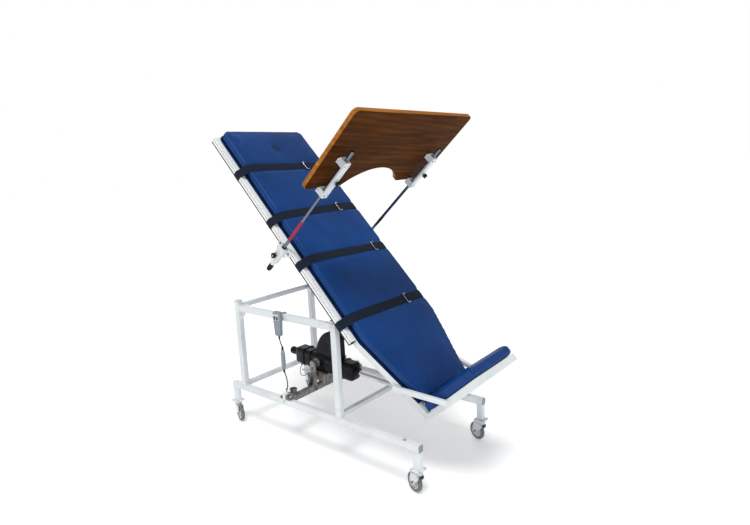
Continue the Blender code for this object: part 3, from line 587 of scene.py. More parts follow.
def plug(name, centre, out, up, body):
    """A plastic plug in the end of a square tube, seen as a slightly domed cap."""
    cap = plate(name, rounded(TUBE - 0.002, TUBE - 0.002, 0.004), 0.003,
                plane(Vector(centre) + out * 0.0010, up.cross(out), up), 0.0012, 3)
    add(cap, body, GREY)


def evaluated_mesh(obj):
    bpy.context.view_layer.update()
    return bpy.data.meshes.new_from_object(obj.evaluated_get(bpy.context.evaluated_depsgraph_get()))


def drill(start, end, radius, space=BED):
    """A cutter for a round bore."""
    along = Vector(end) - Vector(start)
    return lathe("drill", ring(0, radius, 0, along.length), space @ facing(start, along), 40)


def bored(obj, *cutters):
    """The object with the cutters' shapes taken out of its mesh."""
    for piece in (obj, *cutters):
        bpy.context.scene.collection.objects.link(piece)
    for cutter in cutters:
        modifier = obj.modifiers.new("bore", "BOOLEAN")
        modifier.object = cutter
        modifier.solver = "EXACT"
    mesh = evaluated_mesh(obj)
    obj.modifiers.clear()
    obj.data = mesh
    for cutter in cutters:
        bpy.data.objects.remove(cutter)
    return obj


# ---------------------------------------------------------------- cords

CORD_R = 0.003
LEAD_R = 0.002
# Each route runs from where the cord leaves the object: the first in the frame's space with its x from the
# pivot, the second in the drive's.
HANDSET_CORD = (
    (-0.390, -0.3510, 0.6445), (-0.3898, -0.3510, 0.6360), (-0.3885, -0.3512, 0.6260),
    (-0.3860, -0.3514, 0.6140), (-0.3815, -0.3512, 0.6010), (-0.3765, -0.3507, 0.5890),
    (-0.3733, -0.3502, 0.5780), (-0.3720, -0.3500, 0.5680), (-0.3720, -0.3500, 0.5095),
    (-0.3720, -0.3500, 0.4510), (-0.3705, -0.3500, 0.4400), (-0.3655, -0.3502, 0.4270),
    (-0.3590, -0.3506, 0.4130), (-0.3535, -0.3512, 0.3970), (-0.3505, -0.3516, 0.3800),
    (-0.3515, -0.3510, 0.3620), (-0.3565, -0.3490, 0.3450), (-0.3655, -0.3440, 0.3310),
    (-0.3770, -0.3360, 0.3230), (-0.3890, -0.3270, 0.3200), (-0.3990, -0.3190, 0.3180),
    (-0.4060, -0.3140, 0.3130), (-0.4080, -0.3125, 0.3055), (-0.4080, -0.3125, 0.2986),
)
MOTOR_LEAD = (
    (-0.150, -0.030, -0.0553), (-0.151, -0.030, -0.064), (-0.154, -0.031, -0.074),
    (-0.158, -0.033, -0.085), (-0.160, -0.036, -0.097), (-0.157, -0.040, -0.109),
    (-0.149, -0.044, -0.118), (-0.137, -0.047, -0.123), (-0.123, -0.049, -0.123),
    (-0.108, -0.050, -0.118), (-0.094, -0.050, -0.110), (-0.081, -0.050, -0.101),
    (-0.069, -0.050, -0.094), (-0.059, -0.050, -0.090), (-0.0503, -0.050, -0.089),
)


def make_cord(name, node, body, points, count, radius, *makers):
    """A cord that hangs between two places on the object. The makers add the pieces that go with it."""
    route = smooth_route(points, count)
    cord = add(wire(name, [route], radius), body, PLASTIC, node)
    pieces = [make() for make in makers]


def make_connector():
    """The connector that the hand control's cord runs through, with a ridged grip and a sleeve at each end."""
    low, high, middle = box_of("cord_connector")
    radius = (high.x - low.x) / 2
    length = high.z - low.z
    grip = []
    for i in range(6):
        level = length * (0.30 + 0.08 * i)
        grip += [(radius, level), (radius - 0.0012, level + length * 0.015),
                 (radius - 0.0012, level + length * 0.035), (radius, level + length * 0.05)]
    profile = [
        (CORD_R + 0.0004, 0), (radius * 0.62, 0), (radius * 0.70, length * 0.05),
        (radius * 0.78, length * 0.16),
        (radius * 0.96, length * 0.20), (radius, length * 0.23), *grip, (radius, length * 0.80),
        (radius * 0.82, length * 0.83), (radius * 0.72, length * 0.96), (radius * 0.60, length),
        (CORD_R + 0.0004, length),
    ]
    space = Matrix.Translation((middle.x, middle.y, low.z))
    connector = add(lathe("connector_body", profile, space, 40), "base", GREY, "cord_connector")
    for name, start, end, near, far in (("lower", -0.020, 0.0, 0.0046, 0.0066),
                                        ("upper", length, length + 0.018, 0.0066, 0.0046)):
        sleeve = [(CORD_R + 0.0002, start), (near, start), (far, end), (CORD_R + 0.0002, end)]
        add(lathe(f"connector_sleeve_{name}", sleeve, space, 28), "base", PLASTIC)
    return connector


def make_strain_relief(top):
    """The ridged, tapered sleeve where the cord leaves the hand control."""
    profile = [(CORD_R + 0.0003, 0.0)]
    for i in range(6):
        level = 0.0035 * i
        width = 0.0042 + 0.0004 * i
        profile += [(width, level), (width, level + 0.0022), (width - 0.0009, level + 0.0025),
                    (width - 0.0009, level + 0.0033)]
    profile += [(CORD_R + 0.0003, 0.0208)]
    space = Matrix.Translation(top - Z * 0.0206)
    add(lathe("handset_strain_relief", profile, space, 28), "base", PLASTIC)


def make_cords():
    route = [Vector((PIVOT.x, 0, 0)) + Vector(point) for point in HANDSET_CORD]
    make_cord("handset_cord_line", "handset_cord", "base", route, 90, CORD_R, make_connector)
    make_strain_relief(route[0])
    lead = [DRIVE @ Vector(point) for point in MOTOR_LEAD]
    make_cord("motor_lead_line", "motor_lead", "drive", lead, 50, LEAD_R)


make_cords()

# ---------------------------------------------------------------- base

CROSS = 0.028
LEG = 0.034
LEG_IN = 0.018
CASTER_PLATE = 0.062
CASTER_PLATE_THICK = 0.005
CASTER_BOLT = 0.0235
WELD_GAP = 0.0005
GUSSET = 0.058
RAIL_BOLT_FROM_PIVOT = 0.410
RAIL_TOP = box_of("base_rail_right")[1].z


def straight_tube(node, axis, size, body="base", space=HERE):
    """A square tube that fills a CAD node's box, with its edges rounded as drawn tube is."""
    low, high, middle = box_of(node, space)
    start, end = middle.copy(), middle.copy()
    start[axis], end[axis] = low[axis], high[axis]
    fixed = X if axis == 2 else Z
    add(sweep(f"{node}_tube", [start, end], square(size), fixed, space), body, WHITE, node)


def make_base_rails():
    loops = []
    for side, _ in SIDES:
        node = f"base_rail_{side}"
        low, high, middle = box_of(node)
        y, z = middle.y, high.z - TUBE / 2
        inset = CASTER_PLATE / 2 - LEG_IN
        ends = (low.x + inset, high.x - inset)
        add(sweep(f"{node}_tube", [(x, y, z) for x in ends], square(TUBE), Z), "base", WHITE, node)
        for number, (x, out) in enumerate(zip(ends, (-1, 1))):
            plug(f"{node}_plug_{number}", (x, y, z), X * out, Z, "base")
            x -= out * LEG_IN
            top = low.z + CASTER_PLATE_THICK
            leg = sweep(f"{node}_leg_{number}", [(x, y, top), (x, y, z - TUBE / 2)], square(LEG), X)
            add(leg, "base", WHITE)
            loops.append(square_loop((x, y, z - TUBE / 2 - 0.0005), X, Y, LEG / 2 + 0.0004))
            loops.append(square_loop((x, y, top + 0.0008), X, Y, LEG / 2 + 0.0008))
            pad = plate(f"{node}_plate_{number}", rounded(CASTER_PLATE, CASTER_PLATE, 0.007),
                        CASTER_PLATE_THICK, Matrix.Translation((x, y, low.z + CASTER_PLATE_THICK / 2)),
                        0.0008, 2)
            add(pad, "base", WHITE)
            for a in (-1, 1):
                for b in (-1, 1):
                    bolt(f"{node}_bolt_{number}_{a + 1}{b + 1}",
                         (x + a * CASTER_BOLT, y + b * CASTER_BOLT, top), Z, 0.0075, "base")
        bolt(f"{node}_top_bolt", (PIVOT.x + RAIL_BOLT_FROM_PIVOT, y, high.z), Z, 0.013, "base")
    beads("leg_welds", loops, "base")


def make_gussets(side, sign, low, high):
    """Two welded triangles that stiffen the corner of the frame at the head end."""
    x, z = low.x - WELD_GAP, low.z + WELD_GAP
    upright = plate(f"top_rail_gusset_{side}", [(x, z), (x + GUSSET, z), (x, z - GUSSET)], 0.004,
                    standing((low.y + high.y) / 2), 0.0008, 2)
    add(upright, "base", WHITE)
    _, cross_high, cross_middle = box_of("head_top_cross_tube")
    x = cross_high.x - WELD_GAP
    y = min(abs(low.y), abs(high.y)) + WELD_GAP
    corner = [(x, sign * y), (x + GUSSET, sign * y), (x, sign * (y - GUSSET))]
    flat = plate(f"head_cross_gusset_{side}", corner if sign < 0 else corner[::-1], 0.004,
                 Matrix.Translation((0, 0, cross_middle.z)), 0.0008, 2)
    add(flat, "base", WHITE)


def make_base_frame():
    loops = []
    for side, sign in SIDES:
        for end, _ in ENDS:
            node = f"{end}_upright_{side}"
            straight_tube(node, 2, TUBE)
            _, high, middle = box_of(node)
            loops.append(square_loop((middle.x, middle.y, RAIL_TOP + 0.0012), X, Y, TUBE / 2 + 0.0008))
            if end == "foot":
                plug(f"{node}_plug", (middle.x, middle.y, high.z), Z, X, "base")
        node = f"top_rail_{side}"
        straight_tube(node, 0, TUBE)
        low, high, middle = box_of(node)
        for x in (low.x - 0.0002, high.x + 0.0002):
            loops.append(square_loop((x, middle.y, middle.z), Y, Z, TUBE / 2))
        make_gussets(side, sign, low, high)
        node = f"upright_cap_{side}"
        low, high, middle = box_of(node)
        add(block(f"{node}_block", low, high, HERE, 0.0035, 4), "base", HUB, node)
        wide = high.x - low.x + 0.002
        skirt = plate(f"{node}_skirt", rounded(wide, wide, 0.005), 0.004,
                      Matrix.Translation((middle.x, middle.y, low.z + 0.001)), 0.001, 2)
        add(skirt, "base", HUB)
    for node in ("head_low_cross_tube", "head_top_cross_tube", "foot_low_cross_tube"):
        straight_tube(node, 1, CROSS)
        low, high, middle = box_of(node)
        for y in (low.y, high.y):
            loops.append(square_loop((middle.x, y, middle.z), X, Z, CROSS / 2 + 0.0006))
    beads("base_welds", loops, "base")


def make_casters():
    """Swivel casters: pressed steel fork under a double race, grey tyre on a pale hub."""
    for end, _ in ENDS:
        for side, _ in SIDES:
            swivel = f"swivel_{end}_{side}"
            roll = f"wheel_{end}_{side}"
            pin = joint_at(f"{swivel}_turn")
            hub = joint_at(f"{roll}_roll")
            trail = Vector((hub.x - pin.x, hub.y - pin.y, 0))
            space = plane((pin.x, pin.y, 0), trail, Z.cross(trail))
            make_fork(f"caster_fork_{end}_{side}", swivel, space, trail.length, hub.z)
            make_wheel(f"caster_wheel_{end}_{side}", roll, space, trail.length, hub.z)


def make_fork(node, body, space, trail, axle_z):
    top = box_of(node)[1].z
    race = [(0, 0), (0.0225, 0), (0.0240, 0.002), (0.0240, 0.0065), (0.0215, 0.0085), (0.0215, 0.0105),
            (0.0235, 0.0125), (0.0235, 0.0165), (0.0215, 0.0185), (0, 0.0185)]
    race = [(radius, top - depth) for radius, depth in race]
    add(lathe(f"{node}_race", race, space, 40), body, STEEL, node)
    outer, thick = 0.0180, 0.0026
    back, front = -0.022, trail + 0.012
    crown_z = top - 0.0197
    cheek_y = outer - thick / 2
    half = [(cheek_y, crown_z - 0.010), (cheek_y, crown_z - 0.003), (cheek_y - 0.003, crown_z)]
    path = [(0, -y, z) for y, z in half] + [(0, y, z) for y, z in half[::-1]]
    section = [(back, -thick / 2), (front, -thick / 2), (front, thick / 2), (back, thick / 2)]
    add(soften(sweep(f"{node}_crown", path, section, X, space), 0.0008, 2), body, STEEL)
    cheek = [(back, crown_z - 0.009), (front, crown_z - 0.009), *arc((trail, axle_z), 0.0125, -15, -165, 10),
             (-0.020, crown_z - 0.020)]
    for name, sign in (("a", 1), ("b", -1)):
        made = plate(f"{node}_cheek_{name}", cheek, thick, space @ standing(sign * cheek_y), 0.0007, 2)
        add(made, body, STEEL)
        bolt(f"{node}_nut_{name}", space @ Vector((trail, sign * outer, axle_z)),
             space.to_3x3() @ Y * sign, 0.011, body, DARK_STEEL, washer=False)
    rivet = lathe(f"{node}_kingpin", [(0, 0.0), (0.0065, 0.0), (0.0065, 0.002), (0.0045, 0.004), (0, 0.0045)],
                  space @ facing(Z * (crown_z - 0.0012), -Z), 24)
    add(rivet, body, DARK_STEEL)


def make_wheel(node, body, space, trail, radius):
    half = 0.012
    turn = space @ Matrix.Translation((trail, 0, radius)) @ Matrix.Rotation(-math.pi / 2, 4, "X")
    tread = [(radius - 0.0075 + 0.0075 * a, (half - 0.0005) * b) for a, b in arc((0, 0), 1, 90, -90, 12)]
    tyre = [(0.0355, half - 0.0025), (0.0370, half - 0.0010), *tread, (0.0370, 0.0010 - half),
            (0.0355, 0.0025 - half), (0.0345, 0.0)]
    add(lathe(f"{node}_tyre", tyre, turn, 64), body, TYRE, node)
    face = half - 0.0015
    web = 0.0035
    rim = [(0.0042, face), (0.0105, face), (0.0115, face - 0.001), (0.0125, web), (0.0305, web),
           (0.0318, face - 0.0015), (0.0348, face - 0.001)]
    hub = [*rim, (0.0352, 0.0), *((r, -z) for r, z in reversed(rim))]
    add(lathe(f"{node}_hub", hub, turn, 64), body, HUB)
    for i in range(5):
        rib = block(f"{node}_rib_{i}", (0.0120, -0.0013, -face + 0.002), (0.0312, 0.0013, face - 0.002),
                    turn @ Matrix.Rotation(2 * math.pi * i / 5, 4, "Z"), 0.0006, 2)
        add(rib, body, HUB)


make_base_rails()
make_base_frame()
make_casters()

# ---------------------------------------------------------------- bed frame

RAIL_V = 0.304
RAIL_FOOT_V = 0.174
TAPER_X = 0.1605
LEDGE_IN = 0.3205
LEDGE_V = 0.357
LEDGE_END = 0.140
FRAME_HIGH = box_of("bed_board", BED)[0].z - 0.0003
FRAME_LOW = FRAME_HIGH - TUBE
FRAME_MIDDLE = (FRAME_LOW + FRAME_HIGH) / 2
HEAD_CROSS_X = -1.248
PAD_LOW, PAD_HIGH, PAD_MIDDLE = box_of("bed_pad", BED)
PAD_CORNER = 0.045
PAD_FOOT_V = 0.191
FOOT_LOW, FOOT_HIGH, _ = box_of("foot_frame", BED)
FOOT_END = FOOT_HIGH.x - TUBE
BRACE = 0.024
BRACE_START = (0.425, 0.2725)
BRACE_END_W = 0.215


def ledge_section(sign):
    """The section of the side rail's outer ledge: a slot in its face, and a set-back strip under it."""
    out, low, high = LEDGE_V, FRAME_LOW, FRAME_HIGH
    outline = [
        (LEDGE_IN, low + 0.0002), (out - 0.0052, low + 0.0002), (out - 0.0052, low + 0.0120),
        (out - 0.0006, low + 0.0120), (out, low + 0.0126), (out, low + 0.0260), (out - 0.0030, low + 0.0260),
        (out - 0.0030, low + 0.0300), (out, low + 0.0300),
        *arc((out - 0.0030, high - 0.0030), 0.0030, 0, 90, 5),
        (LEDGE_IN, high),
    ]
    middle = (LEDGE_IN + LEDGE_V) / 2
    return [(w - FRAME_MIDDLE, (v - middle) * sign) for v, w in outline]


def rail_foot_v(x):
    return RAIL_V - (x - TAPER_X) * (RAIL_V - RAIL_FOOT_V) / (FOOT_END + TUBE / 2 - TAPER_X)


def make_side_rails():
    loops = []
    for side, sign in SIDES:
        node = f"side_rail_{side}"
        low, high, _ = box_of(node, BED)
        path = [(low.x, sign * RAIL_V, FRAME_MIDDLE), (TAPER_X, sign * RAIL_V, FRAME_MIDDLE),
                (high.x, sign * rail_foot_v(high.x), FRAME_MIDDLE)]
        add(sweep(f"{node}_tube", path, square(TUBE), Z, BED), "bed", WHITE, node)
        make_ledge(node, sign, low.x)
        plug(f"{node}_plug", BED @ Vector(path[0]), -BED_X, NORMAL, "bed")
        make_pivot(side, sign)
        around = arc((HEAD_CROSS_X, FRAME_MIDDLE), CROSS / 2 + 0.001, 0, 354, 24)
        loops.append([BED @ Vector((x, sign * (RAIL_V - TUBE / 2 - 0.001), z)) for x, z in around])
    straight_tube("bed_head_cross_tube", 1, CROSS, "bed", BED)
    beads("bed_welds", loops, "bed")


def make_ledge(node, sign, start):
    """The ledge beside the pad, with dark strips of painted shade in its slot and under its face, and an end
    cap.
    """
    middle = sign * (LEDGE_IN + LEDGE_V) / 2
    path = [(start, middle, FRAME_MIDDLE), (LEDGE_END, middle, FRAME_MIDDLE)]
    add(soften(sweep(f"{node}_ledge", path, ledge_section(sign), Z, BED), 0.0006, 2), "bed", RAIL_PAINT_PAINTED_LIGHT)
    # Dark strips in the slot and in the set-back under the face: painted shade for those recesses.
    for name, depth, low, high in (("slot", 0.0028, 0.0263, 0.0297), ("skirt", 0.0050, 0.0010, 0.0116)):
        face = LEDGE_V - depth
        strip = block(f"{node}_{name}_strip", (start + 0.002, sign * (face - 0.0015), FRAME_LOW + low),
                      (LEDGE_END - 0.002, sign * (face + 0.0008), FRAME_LOW + high), BED, 0.0004, 2)
        add(strip, "bed", TRIM_AND_SHADE)
    cap = block(f"{node}_ledge_cap", (LEDGE_END, sign * LEDGE_IN, FRAME_LOW + 0.001),
                (LEDGE_END + 0.0025, sign * (LEDGE_V - 0.001), FRAME_HIGH - 0.001), BED, 0.0010, 2)
    add(cap, "bed", TRIM_AND_SHADE)


def make_pivot(side, sign):
    """The ear under the side rail, its boss, and the end of the pivot shaft outside the upright."""
    low, high, _ = box_of(f"foot_upright_{side}")
    inner, outer = sorted((abs(low.y), abs(high.y)))
    inner -= 0.0006
    axis = Y * sign
    outline = [(0.018, FRAME_LOW + 0.001), (-0.018, FRAME_LOW + 0.001), *arc((0, 0), 0.018, 180, 360, 14)]
    ear = plate(f"pivot_ear_{side}", outline, 0.0058, BED @ standing(sign * (inner - 0.003)), 0.0008, 2)
    add(ear, "bed", WHITE)
    boss = ring(0, 0.0135, 0, 0.0075, (0.0015, 0.0015))
    add(lathe(f"pivot_boss_{side}", boss, facing(PIVOT + axis * (inner - 0.006), -axis), 32), "bed", WHITE)
    bush = ring(0.0086, 0.0150, 0, 0.0022, (0.0015, 0.0010))
    add(lathe(f"pivot_bush_{side}", bush, facing(PIVOT + axis * outer, axis), 36), "base", STEEL)
    end = ring(0, 0.0078, 0, 0.0040, (0.0010, 0.0008))
    space = facing(PIVOT + axis * (outer + 0.0002), axis)
    add(lathe(f"pivot_shaft_end_{side}", end, space, 32), "bed", STEEL)


def pad_outline(inset, steps=8):
    """Half of the pad's outline mirrored: wide at the head, narrow at the feet."""
    half = PAD_HIGH.y - inset
    slope = (PAD_HIGH.y - PAD_FOOT_V) / (FOOT_END + 0.029 - TAPER_X)
    foot = half - (PAD_HIGH.x - TAPER_X) * slope
    left = arc((PAD_LOW.x + inset + PAD_CORNER, half - PAD_CORNER), PAD_CORNER, 180, 90, steps)
    left += [(TAPER_X, half), (PAD_HIGH.x - inset, foot)]
    return left + [(x, -v) for x, v in reversed(left)]


def make_bed_board():
    """The board under the pad, coloured the pad's blue as it looks in shade: painted shade."""
    low, high, middle = box_of("bed_board", BED)
    board = plate("bed_board_panel", pad_outline(0.003), high.z - low.z,
                  BED @ Matrix.Translation((0, 0, middle.z)), 0.0012, 2)
    add(board, "bed", BOARD_PAINTED_SHADE, "bed_board")


def make_foot_frame():
    """A frame of tube that carries the foot pad, with a slanting brace to each side rail."""
    x = FOOT_END + TUBE / 2
    v = RAIL_FOOT_V
    top = FOOT_HIGH.z - TUBE / 2
    path = [(x, -v, FOOT_LOW.z), (x, -v, top), (x, v, top), (x, v, FOOT_LOW.z)]
    add(sweep("foot_frame_hoop", path, square(TUBE), X, BED), "bed", WHITE, "foot_frame")
    low_z = FOOT_LOW.z + TUBE / 2
    reach = v - TUBE / 2
    bar = sweep("foot_frame_low_bar", [(x, -reach, low_z), (x, reach, low_z)], square(TUBE - 0.002), Z, BED)
    add(bar, "bed", WHITE)
    loops = []
    for side, sign in SIDES:
        plug(f"foot_frame_plug_{side}", BED @ Vector((x, sign * v, FOOT_LOW.z)), -NORMAL, BED_X, "bed")
        start = Vector((BRACE_START[0], sign * BRACE_START[1], low_z - 0.004))
        end = Vector((x, sign * (v + TUBE / 2 + 0.0105), BRACE_END_W))
        fixed = Y.cross((end - start).normalized()).normalized()
        brace = sweep(f"foot_brace_{side}", [start, end], rounded(BRACE, BRACE, 0.0035), fixed, BED)
        add(brace, "bed", WHITE)
        loops.append(square_loop((x, sign * reach, low_z), X, Z, TUBE / 2 - 0.0004, space=BED))
        loops.append(square_loop((FOOT_END - 0.0008, sign * rail_foot_v(FOOT_END), FRAME_MIDDLE), Y, Z,
                                 TUBE / 2 + 0.0004, TUBE / 2 + 0.0002, BED))
    beads("foot_welds", loops, "bed")


make_side_rails()
make_bed_board()
make_foot_frame()

# ---------------------------------------------------------------- pads

STRAPS = [(number, box_of(f"strap_{number}", BED)[2].x) for number in (1, 2, 3, 4)]
STRAP_HALF = 0.025
STRAP_THICK = 0.0022
DENT = 0.0035
CLOTH_FRAMES = 20


def remeshed(name, source, voxel, smoothing):
    """A closed form cut into even cells, with its corners softened."""
    bpy.context.scene.collection.objects.link(source)
    cells = source.modifiers.new("cells", "REMESH")
    cells.mode = "VOXEL"
    cells.voxel_size = voxel
    soft = source.modifiers.new("soft", "SMOOTH")
    soft.factor = 0.5
    soft.iterations = smoothing
    mesh = evaluated_mesh(source)
    bpy.data.objects.remove(source, do_unlink=True)
    return bpy.data.objects.new(name, mesh)


def swell(obj, cap, held):
    """Blows a form up with cloth pressure. No point moves further than cap, and held points stay."""
    scene = bpy.context.scene
    start = [vertex.co.copy() for vertex in obj.data.vertices]
    group = obj.vertex_groups.new(name="held")
    group.add([i for i, point in enumerate(start) if held(point)], 1.0, "REPLACE")
    scene.collection.objects.link(obj)
    cloth = obj.modifiers.new("cloth", "CLOTH")
    settings = cloth.settings
    settings.quality = 5
    settings.mass = 0.3
    settings.tension_stiffness = 15
    settings.compression_stiffness = 15
    settings.bending_stiffness = 0.5
    settings.use_pressure = True
    settings.uniform_pressure_force = 4
    settings.effector_weights.gravity = 0
    settings.vertex_group_mass = group.name
    cloth.point_cache.frame_start = 1
    cloth.point_cache.frame_end = CLOTH_FRAMES
    for number in range(1, CLOTH_FRAMES + 1):
        scene.frame_set(number)
    swollen = evaluated_mesh(obj)
    obj.modifiers.remove(cloth)
    scene.frame_set(1)
    for vertex, was, now in zip(obj.data.vertices, start, swollen.vertices):
        move = now.co - was
        if move.length > cap:
            move.length = cap
        vertex.co = was + move
    obj.vertex_groups.clear()
    scene.collection.objects.unlink(obj)


def smoothstep(value):
    value = max(0.0, min(1.0, value))
    return value * value * (3 - 2 * value)


def press_bed_pad(mesh):
    """Straps press the pad in; it is flat underneath, and dips a little where a head has lain."""
    for vertex in mesh.vertices:
        x, v, w = vertex.co
        edge = min(1.0, abs(v) / PAD_HIGH.y) ** 10
        for _, strap_x in STRAPS:
            near = smoothstep(1 - (abs(x - strap_x) - STRAP_HALF) / 0.024)
            upper = smoothstep((w - PAD_MIDDLE.z) / 0.012 + 0.5)
            w -= near * upper * DENT * (1 + 0.9 * edge)
            v -= math.copysign(near * 0.0022 * smoothstep((abs(v) - PAD_HIGH.y + 0.03) / 0.02), v)
        if w > PAD_MIDDLE.z:
            reach = math.hypot((x - HEAD_HOLLOW.x) / 0.066, (v - HEAD_HOLLOW.y) / 0.056)
            w -= 0.0045 * smoothstep(1.15 - reach)
            w += 0.0007 * math.sin(x * 23 + 2.0 * math.sin(v * 9)) * math.cos(v * 17 + x * 4)
        vertex.co = (x, v, max(PAD_LOW.z + 0.0001, w))


def finish_pad(obj, node):
    obj.data.transform(BED)
    obj.data.shade_smooth()
    subdivision = obj.modifiers.new("subdivision", "SUBSURF")
    subdivision.levels = subdivision.render_levels = 1
    add(obj, "bed", BLUE, node)


def make_bed_pad():
    """The long pad. It returns the places of its points before they are carried into the frame's space."""
    slab = plate("bed_pad_slab", pad_outline(0.004), PAD_HIGH.z - PAD_LOW.z - 0.005,
                 Matrix.Translation((0, 0, PAD_MIDDLE.z - 0.002)))
    pad = remeshed("bed_pad_cushion", slab, 0.009, 5)
    swell(pad, 0.005, lambda point: point.z < PAD_LOW.z + 0.004)
    press_bed_pad(pad.data)
    points = [vertex.co.copy() for vertex in pad.data.vertices]
    finish_pad(pad, "bed_pad")
    return points


def make_foot_pad():
    """The foot pad, a little thinner along its free edge."""
    low, high, _ = box_of("foot_pad", BED)
    inset = Vector((0.0005, -0.002, -0.002))
    core = block("foot_pad_core", low + inset, high - inset, HERE, 0.018, 5)
    foot = remeshed("foot_pad_cushion", core, 0.006, 4)
    for vertex in foot.data.vertices:
        reach = (vertex.co.z - high.z + 0.040) / 0.036
        if reach > 0:
            middle = (low.x + high.x) / 2
            squeeze = 1 - 0.12 * smoothstep(reach) * smoothstep(abs(vertex.co.x - middle) / 0.02)
            vertex.co.x = middle + (vertex.co.x - middle) * squeeze
    swell(foot, 0.005, lambda point: point.x > high.x - 0.006)
    for vertex in foot.data.vertices:
        vertex.co.x = min(vertex.co.x, FOOT_END - 0.0003)
        vertex.co.z = max(vertex.co.z, low.z + 0.0002)
    finish_pad(foot, "foot_pad")


PAD_POINTS = make_bed_pad()
make_foot_pad()

# ---------------------------------------------------------------- straps

STRAP_TAIL = 0.288
STRAP_SCREW = STRAP_TAIL + 0.008
STRAP_TAIL_END = 0.316
STRAP_SLANT = {1: 0.030, 2: 0.0, 3: 0.035, 4: 0.012}
STRAP_COLUMNS = 6


def taut_line(x):
    """The line of a strap's underside across the bed: round the pad and the side rails, in (v, w)."""
    points = [Vector((p.y, p.z)) for p in PAD_POINTS if abs(p.x - x) < STRAP_HALF]
    for sign in (-1, 1):
        points += map(Vector, arc((sign * (LEDGE_V - 0.0090), FRAME_LOW + 0.0040), 0.0045, 180, 360, 12))
        points += map(Vector, arc((sign * (LEDGE_V - 0.0030), FRAME_HIGH - 0.0030), 0.0034, 0, 180, 12))
        points.append(Vector((sign * (LEDGE_V + 0.0004), FRAME_LOW + 0.0130)))
    hull = [points[i] for i in geometry.convex_hull_2d(points)]
    low = min(point.y for point in hull)
    hull = [point for point in hull if point.y > low + 0.00002 or abs(point.x) > STRAP_TAIL]
    hull.sort(key=lambda point: math.atan2(point.x, point.y - 0.09))
    return resampled([Vector((-STRAP_TAIL, low)), *hull, Vector((STRAP_TAIL, low))], 0.004)


def resampled(line, step):
    """Points at about equal steps along a line."""
    fine = [line[0]]
    for a, b in zip(line, line[1:]):
        count = max(1, round((b - a).length / step))
        fine += [a.lerp(b, (i + 1) / count) for i in range(count)]
    return fine


def ribbon(name, line, x, half, low, high, slant=0.0):
    """Webbing along a (v, w) line; low and high are its faces' heights off it, and slant skews it along
    the bed."""
    shape = bmesh.new()
    layer = shape.loops.layers.uv.new("UVMap")
    across = [-half + 2 * half * i / STRAP_COLUMNS for i in range(STRAP_COLUMNS + 1)]
    profile = [(a, high - (0.0006 if i in (0, STRAP_COLUMNS) else 0.0)) for i, a in enumerate(across)]
    profile += [(-a, low) for a in across]
    rings = []
    travelled = [0.0]
    for number, point in enumerate(line):
        along = line[min(len(line) - 1, number + 1)] - line[max(0, number - 1)]
        normal = Vector((-along.y, along.x)).normalized()
        rings.append([shape.verts.new((x + slant * point.x + a, *(point + normal * height)))
                      for a, height in profile])
        if number:
            travelled.append(travelled[-1] + (point - line[number - 1]).length)
    for number, (near, far) in enumerate(zip(rings, rings[1:])):
        for i in range(len(profile)):
            j = (i + 1) % len(profile)
            face = shape.faces.new((near[i], near[j], far[j], far[i]))
            for loop, (column, row) in zip(face.loops, ((i, 0), (j, 0), (j, 1), (i, 1))):
                loop[layer].uv = (profile[column][0], travelled[number + row])
    shape.faces.new(rings[0][::-1])
    shape.faces.new(rings[-1])
    return as_object(name, shape, BED)


def make_straps():
    for number, x in STRAPS:
        line = taut_line(x)
        slant = STRAP_SLANT[number]
        band = ribbon(f"strap_{number}_band", line, x, STRAP_HALF, 0.0003, 0.0003 + STRAP_THICK, slant)
        add(band, "bed", WEBBING, f"strap_{number}")
        low, _, middle = box_of(f"buckle_{number}", BED)
        doubled = [point for point in line
                   if point.y > PAD_HIGH.z - 0.012 and middle.y + 0.004 < point.x < STRAP_TAIL_END]
        second = ribbon(f"strap_{number}_tail", doubled, x, STRAP_HALF - 0.0005, 0.0004 + STRAP_THICK,
                        0.0004 + 2 * STRAP_THICK, slant)
        add(second, "bed", WEBBING)
        for side, sign in SIDES:
            place = Vector((x + slant * sign * STRAP_TAIL, sign * STRAP_SCREW,
                            line[0].y - STRAP_THICK - 0.0004))
            bolt(f"strap_{number}_screw_{side}", BED @ place, -NORMAL, 0.007, "bed")
        make_buckle(number, x + slant * middle.y, middle.y, low.z)


def make_buckle(number, x, middle, low):
    """A wire slider: a bright bar ahead of the fold of webbing that wraps its other bars."""
    body = f"buckle_{number}"
    radius = 0.0019
    half_x = 0.0295
    level = low + radius + 0.0002
    outline = [BED @ Vector((x + a, middle + b, level)) for a, b in rounded(2 * half_x, 0.021, 0.0035)]
    add(wire(f"{body}_wire", [outline], radius, cyclic=True), body, STEEL, body)
    bar = [BED @ Vector((x + a, middle + 0.002, level)) for a in (-half_x, half_x)]
    add(wire(f"{body}_bar", [bar], radius * 0.85), body, STEEL)
    fold = [Vector((middle + a, low + b)) for a, b in (
        (0.0135, 0.0003), (0.0145, 0.0018), (0.0140, 0.0036), (0.0115, 0.0046), (0.0080, 0.0049),
        (0.0040, 0.0048), (0.0000, 0.0046), (-0.0030, 0.0038), (-0.0048, 0.0022), (-0.0052, 0.0006))]
    add(ribbon(f"{body}_fold", fold, x, STRAP_HALF - 0.001, -0.0004, 0.0010), body, WEBBING)


make_straps()

# ---------------------------------------------------------------- posts, sockets and activity board

POST_R = 0.009
POST_BORE = 0.0095
POST_V = 0.372
# The span along its post of the right post's red sleeve and of the left post's black grip.
POST_SLEEVES = {-1: (0.128, 0.275, RED), 1: (0.138, 0.203, RUBBER)}
CLAMP_V = 0.3763
CLAMP_SPAN = (-0.045, 0.065)
WING_THICK = 0.006
BRACKET_EAR = 0.037


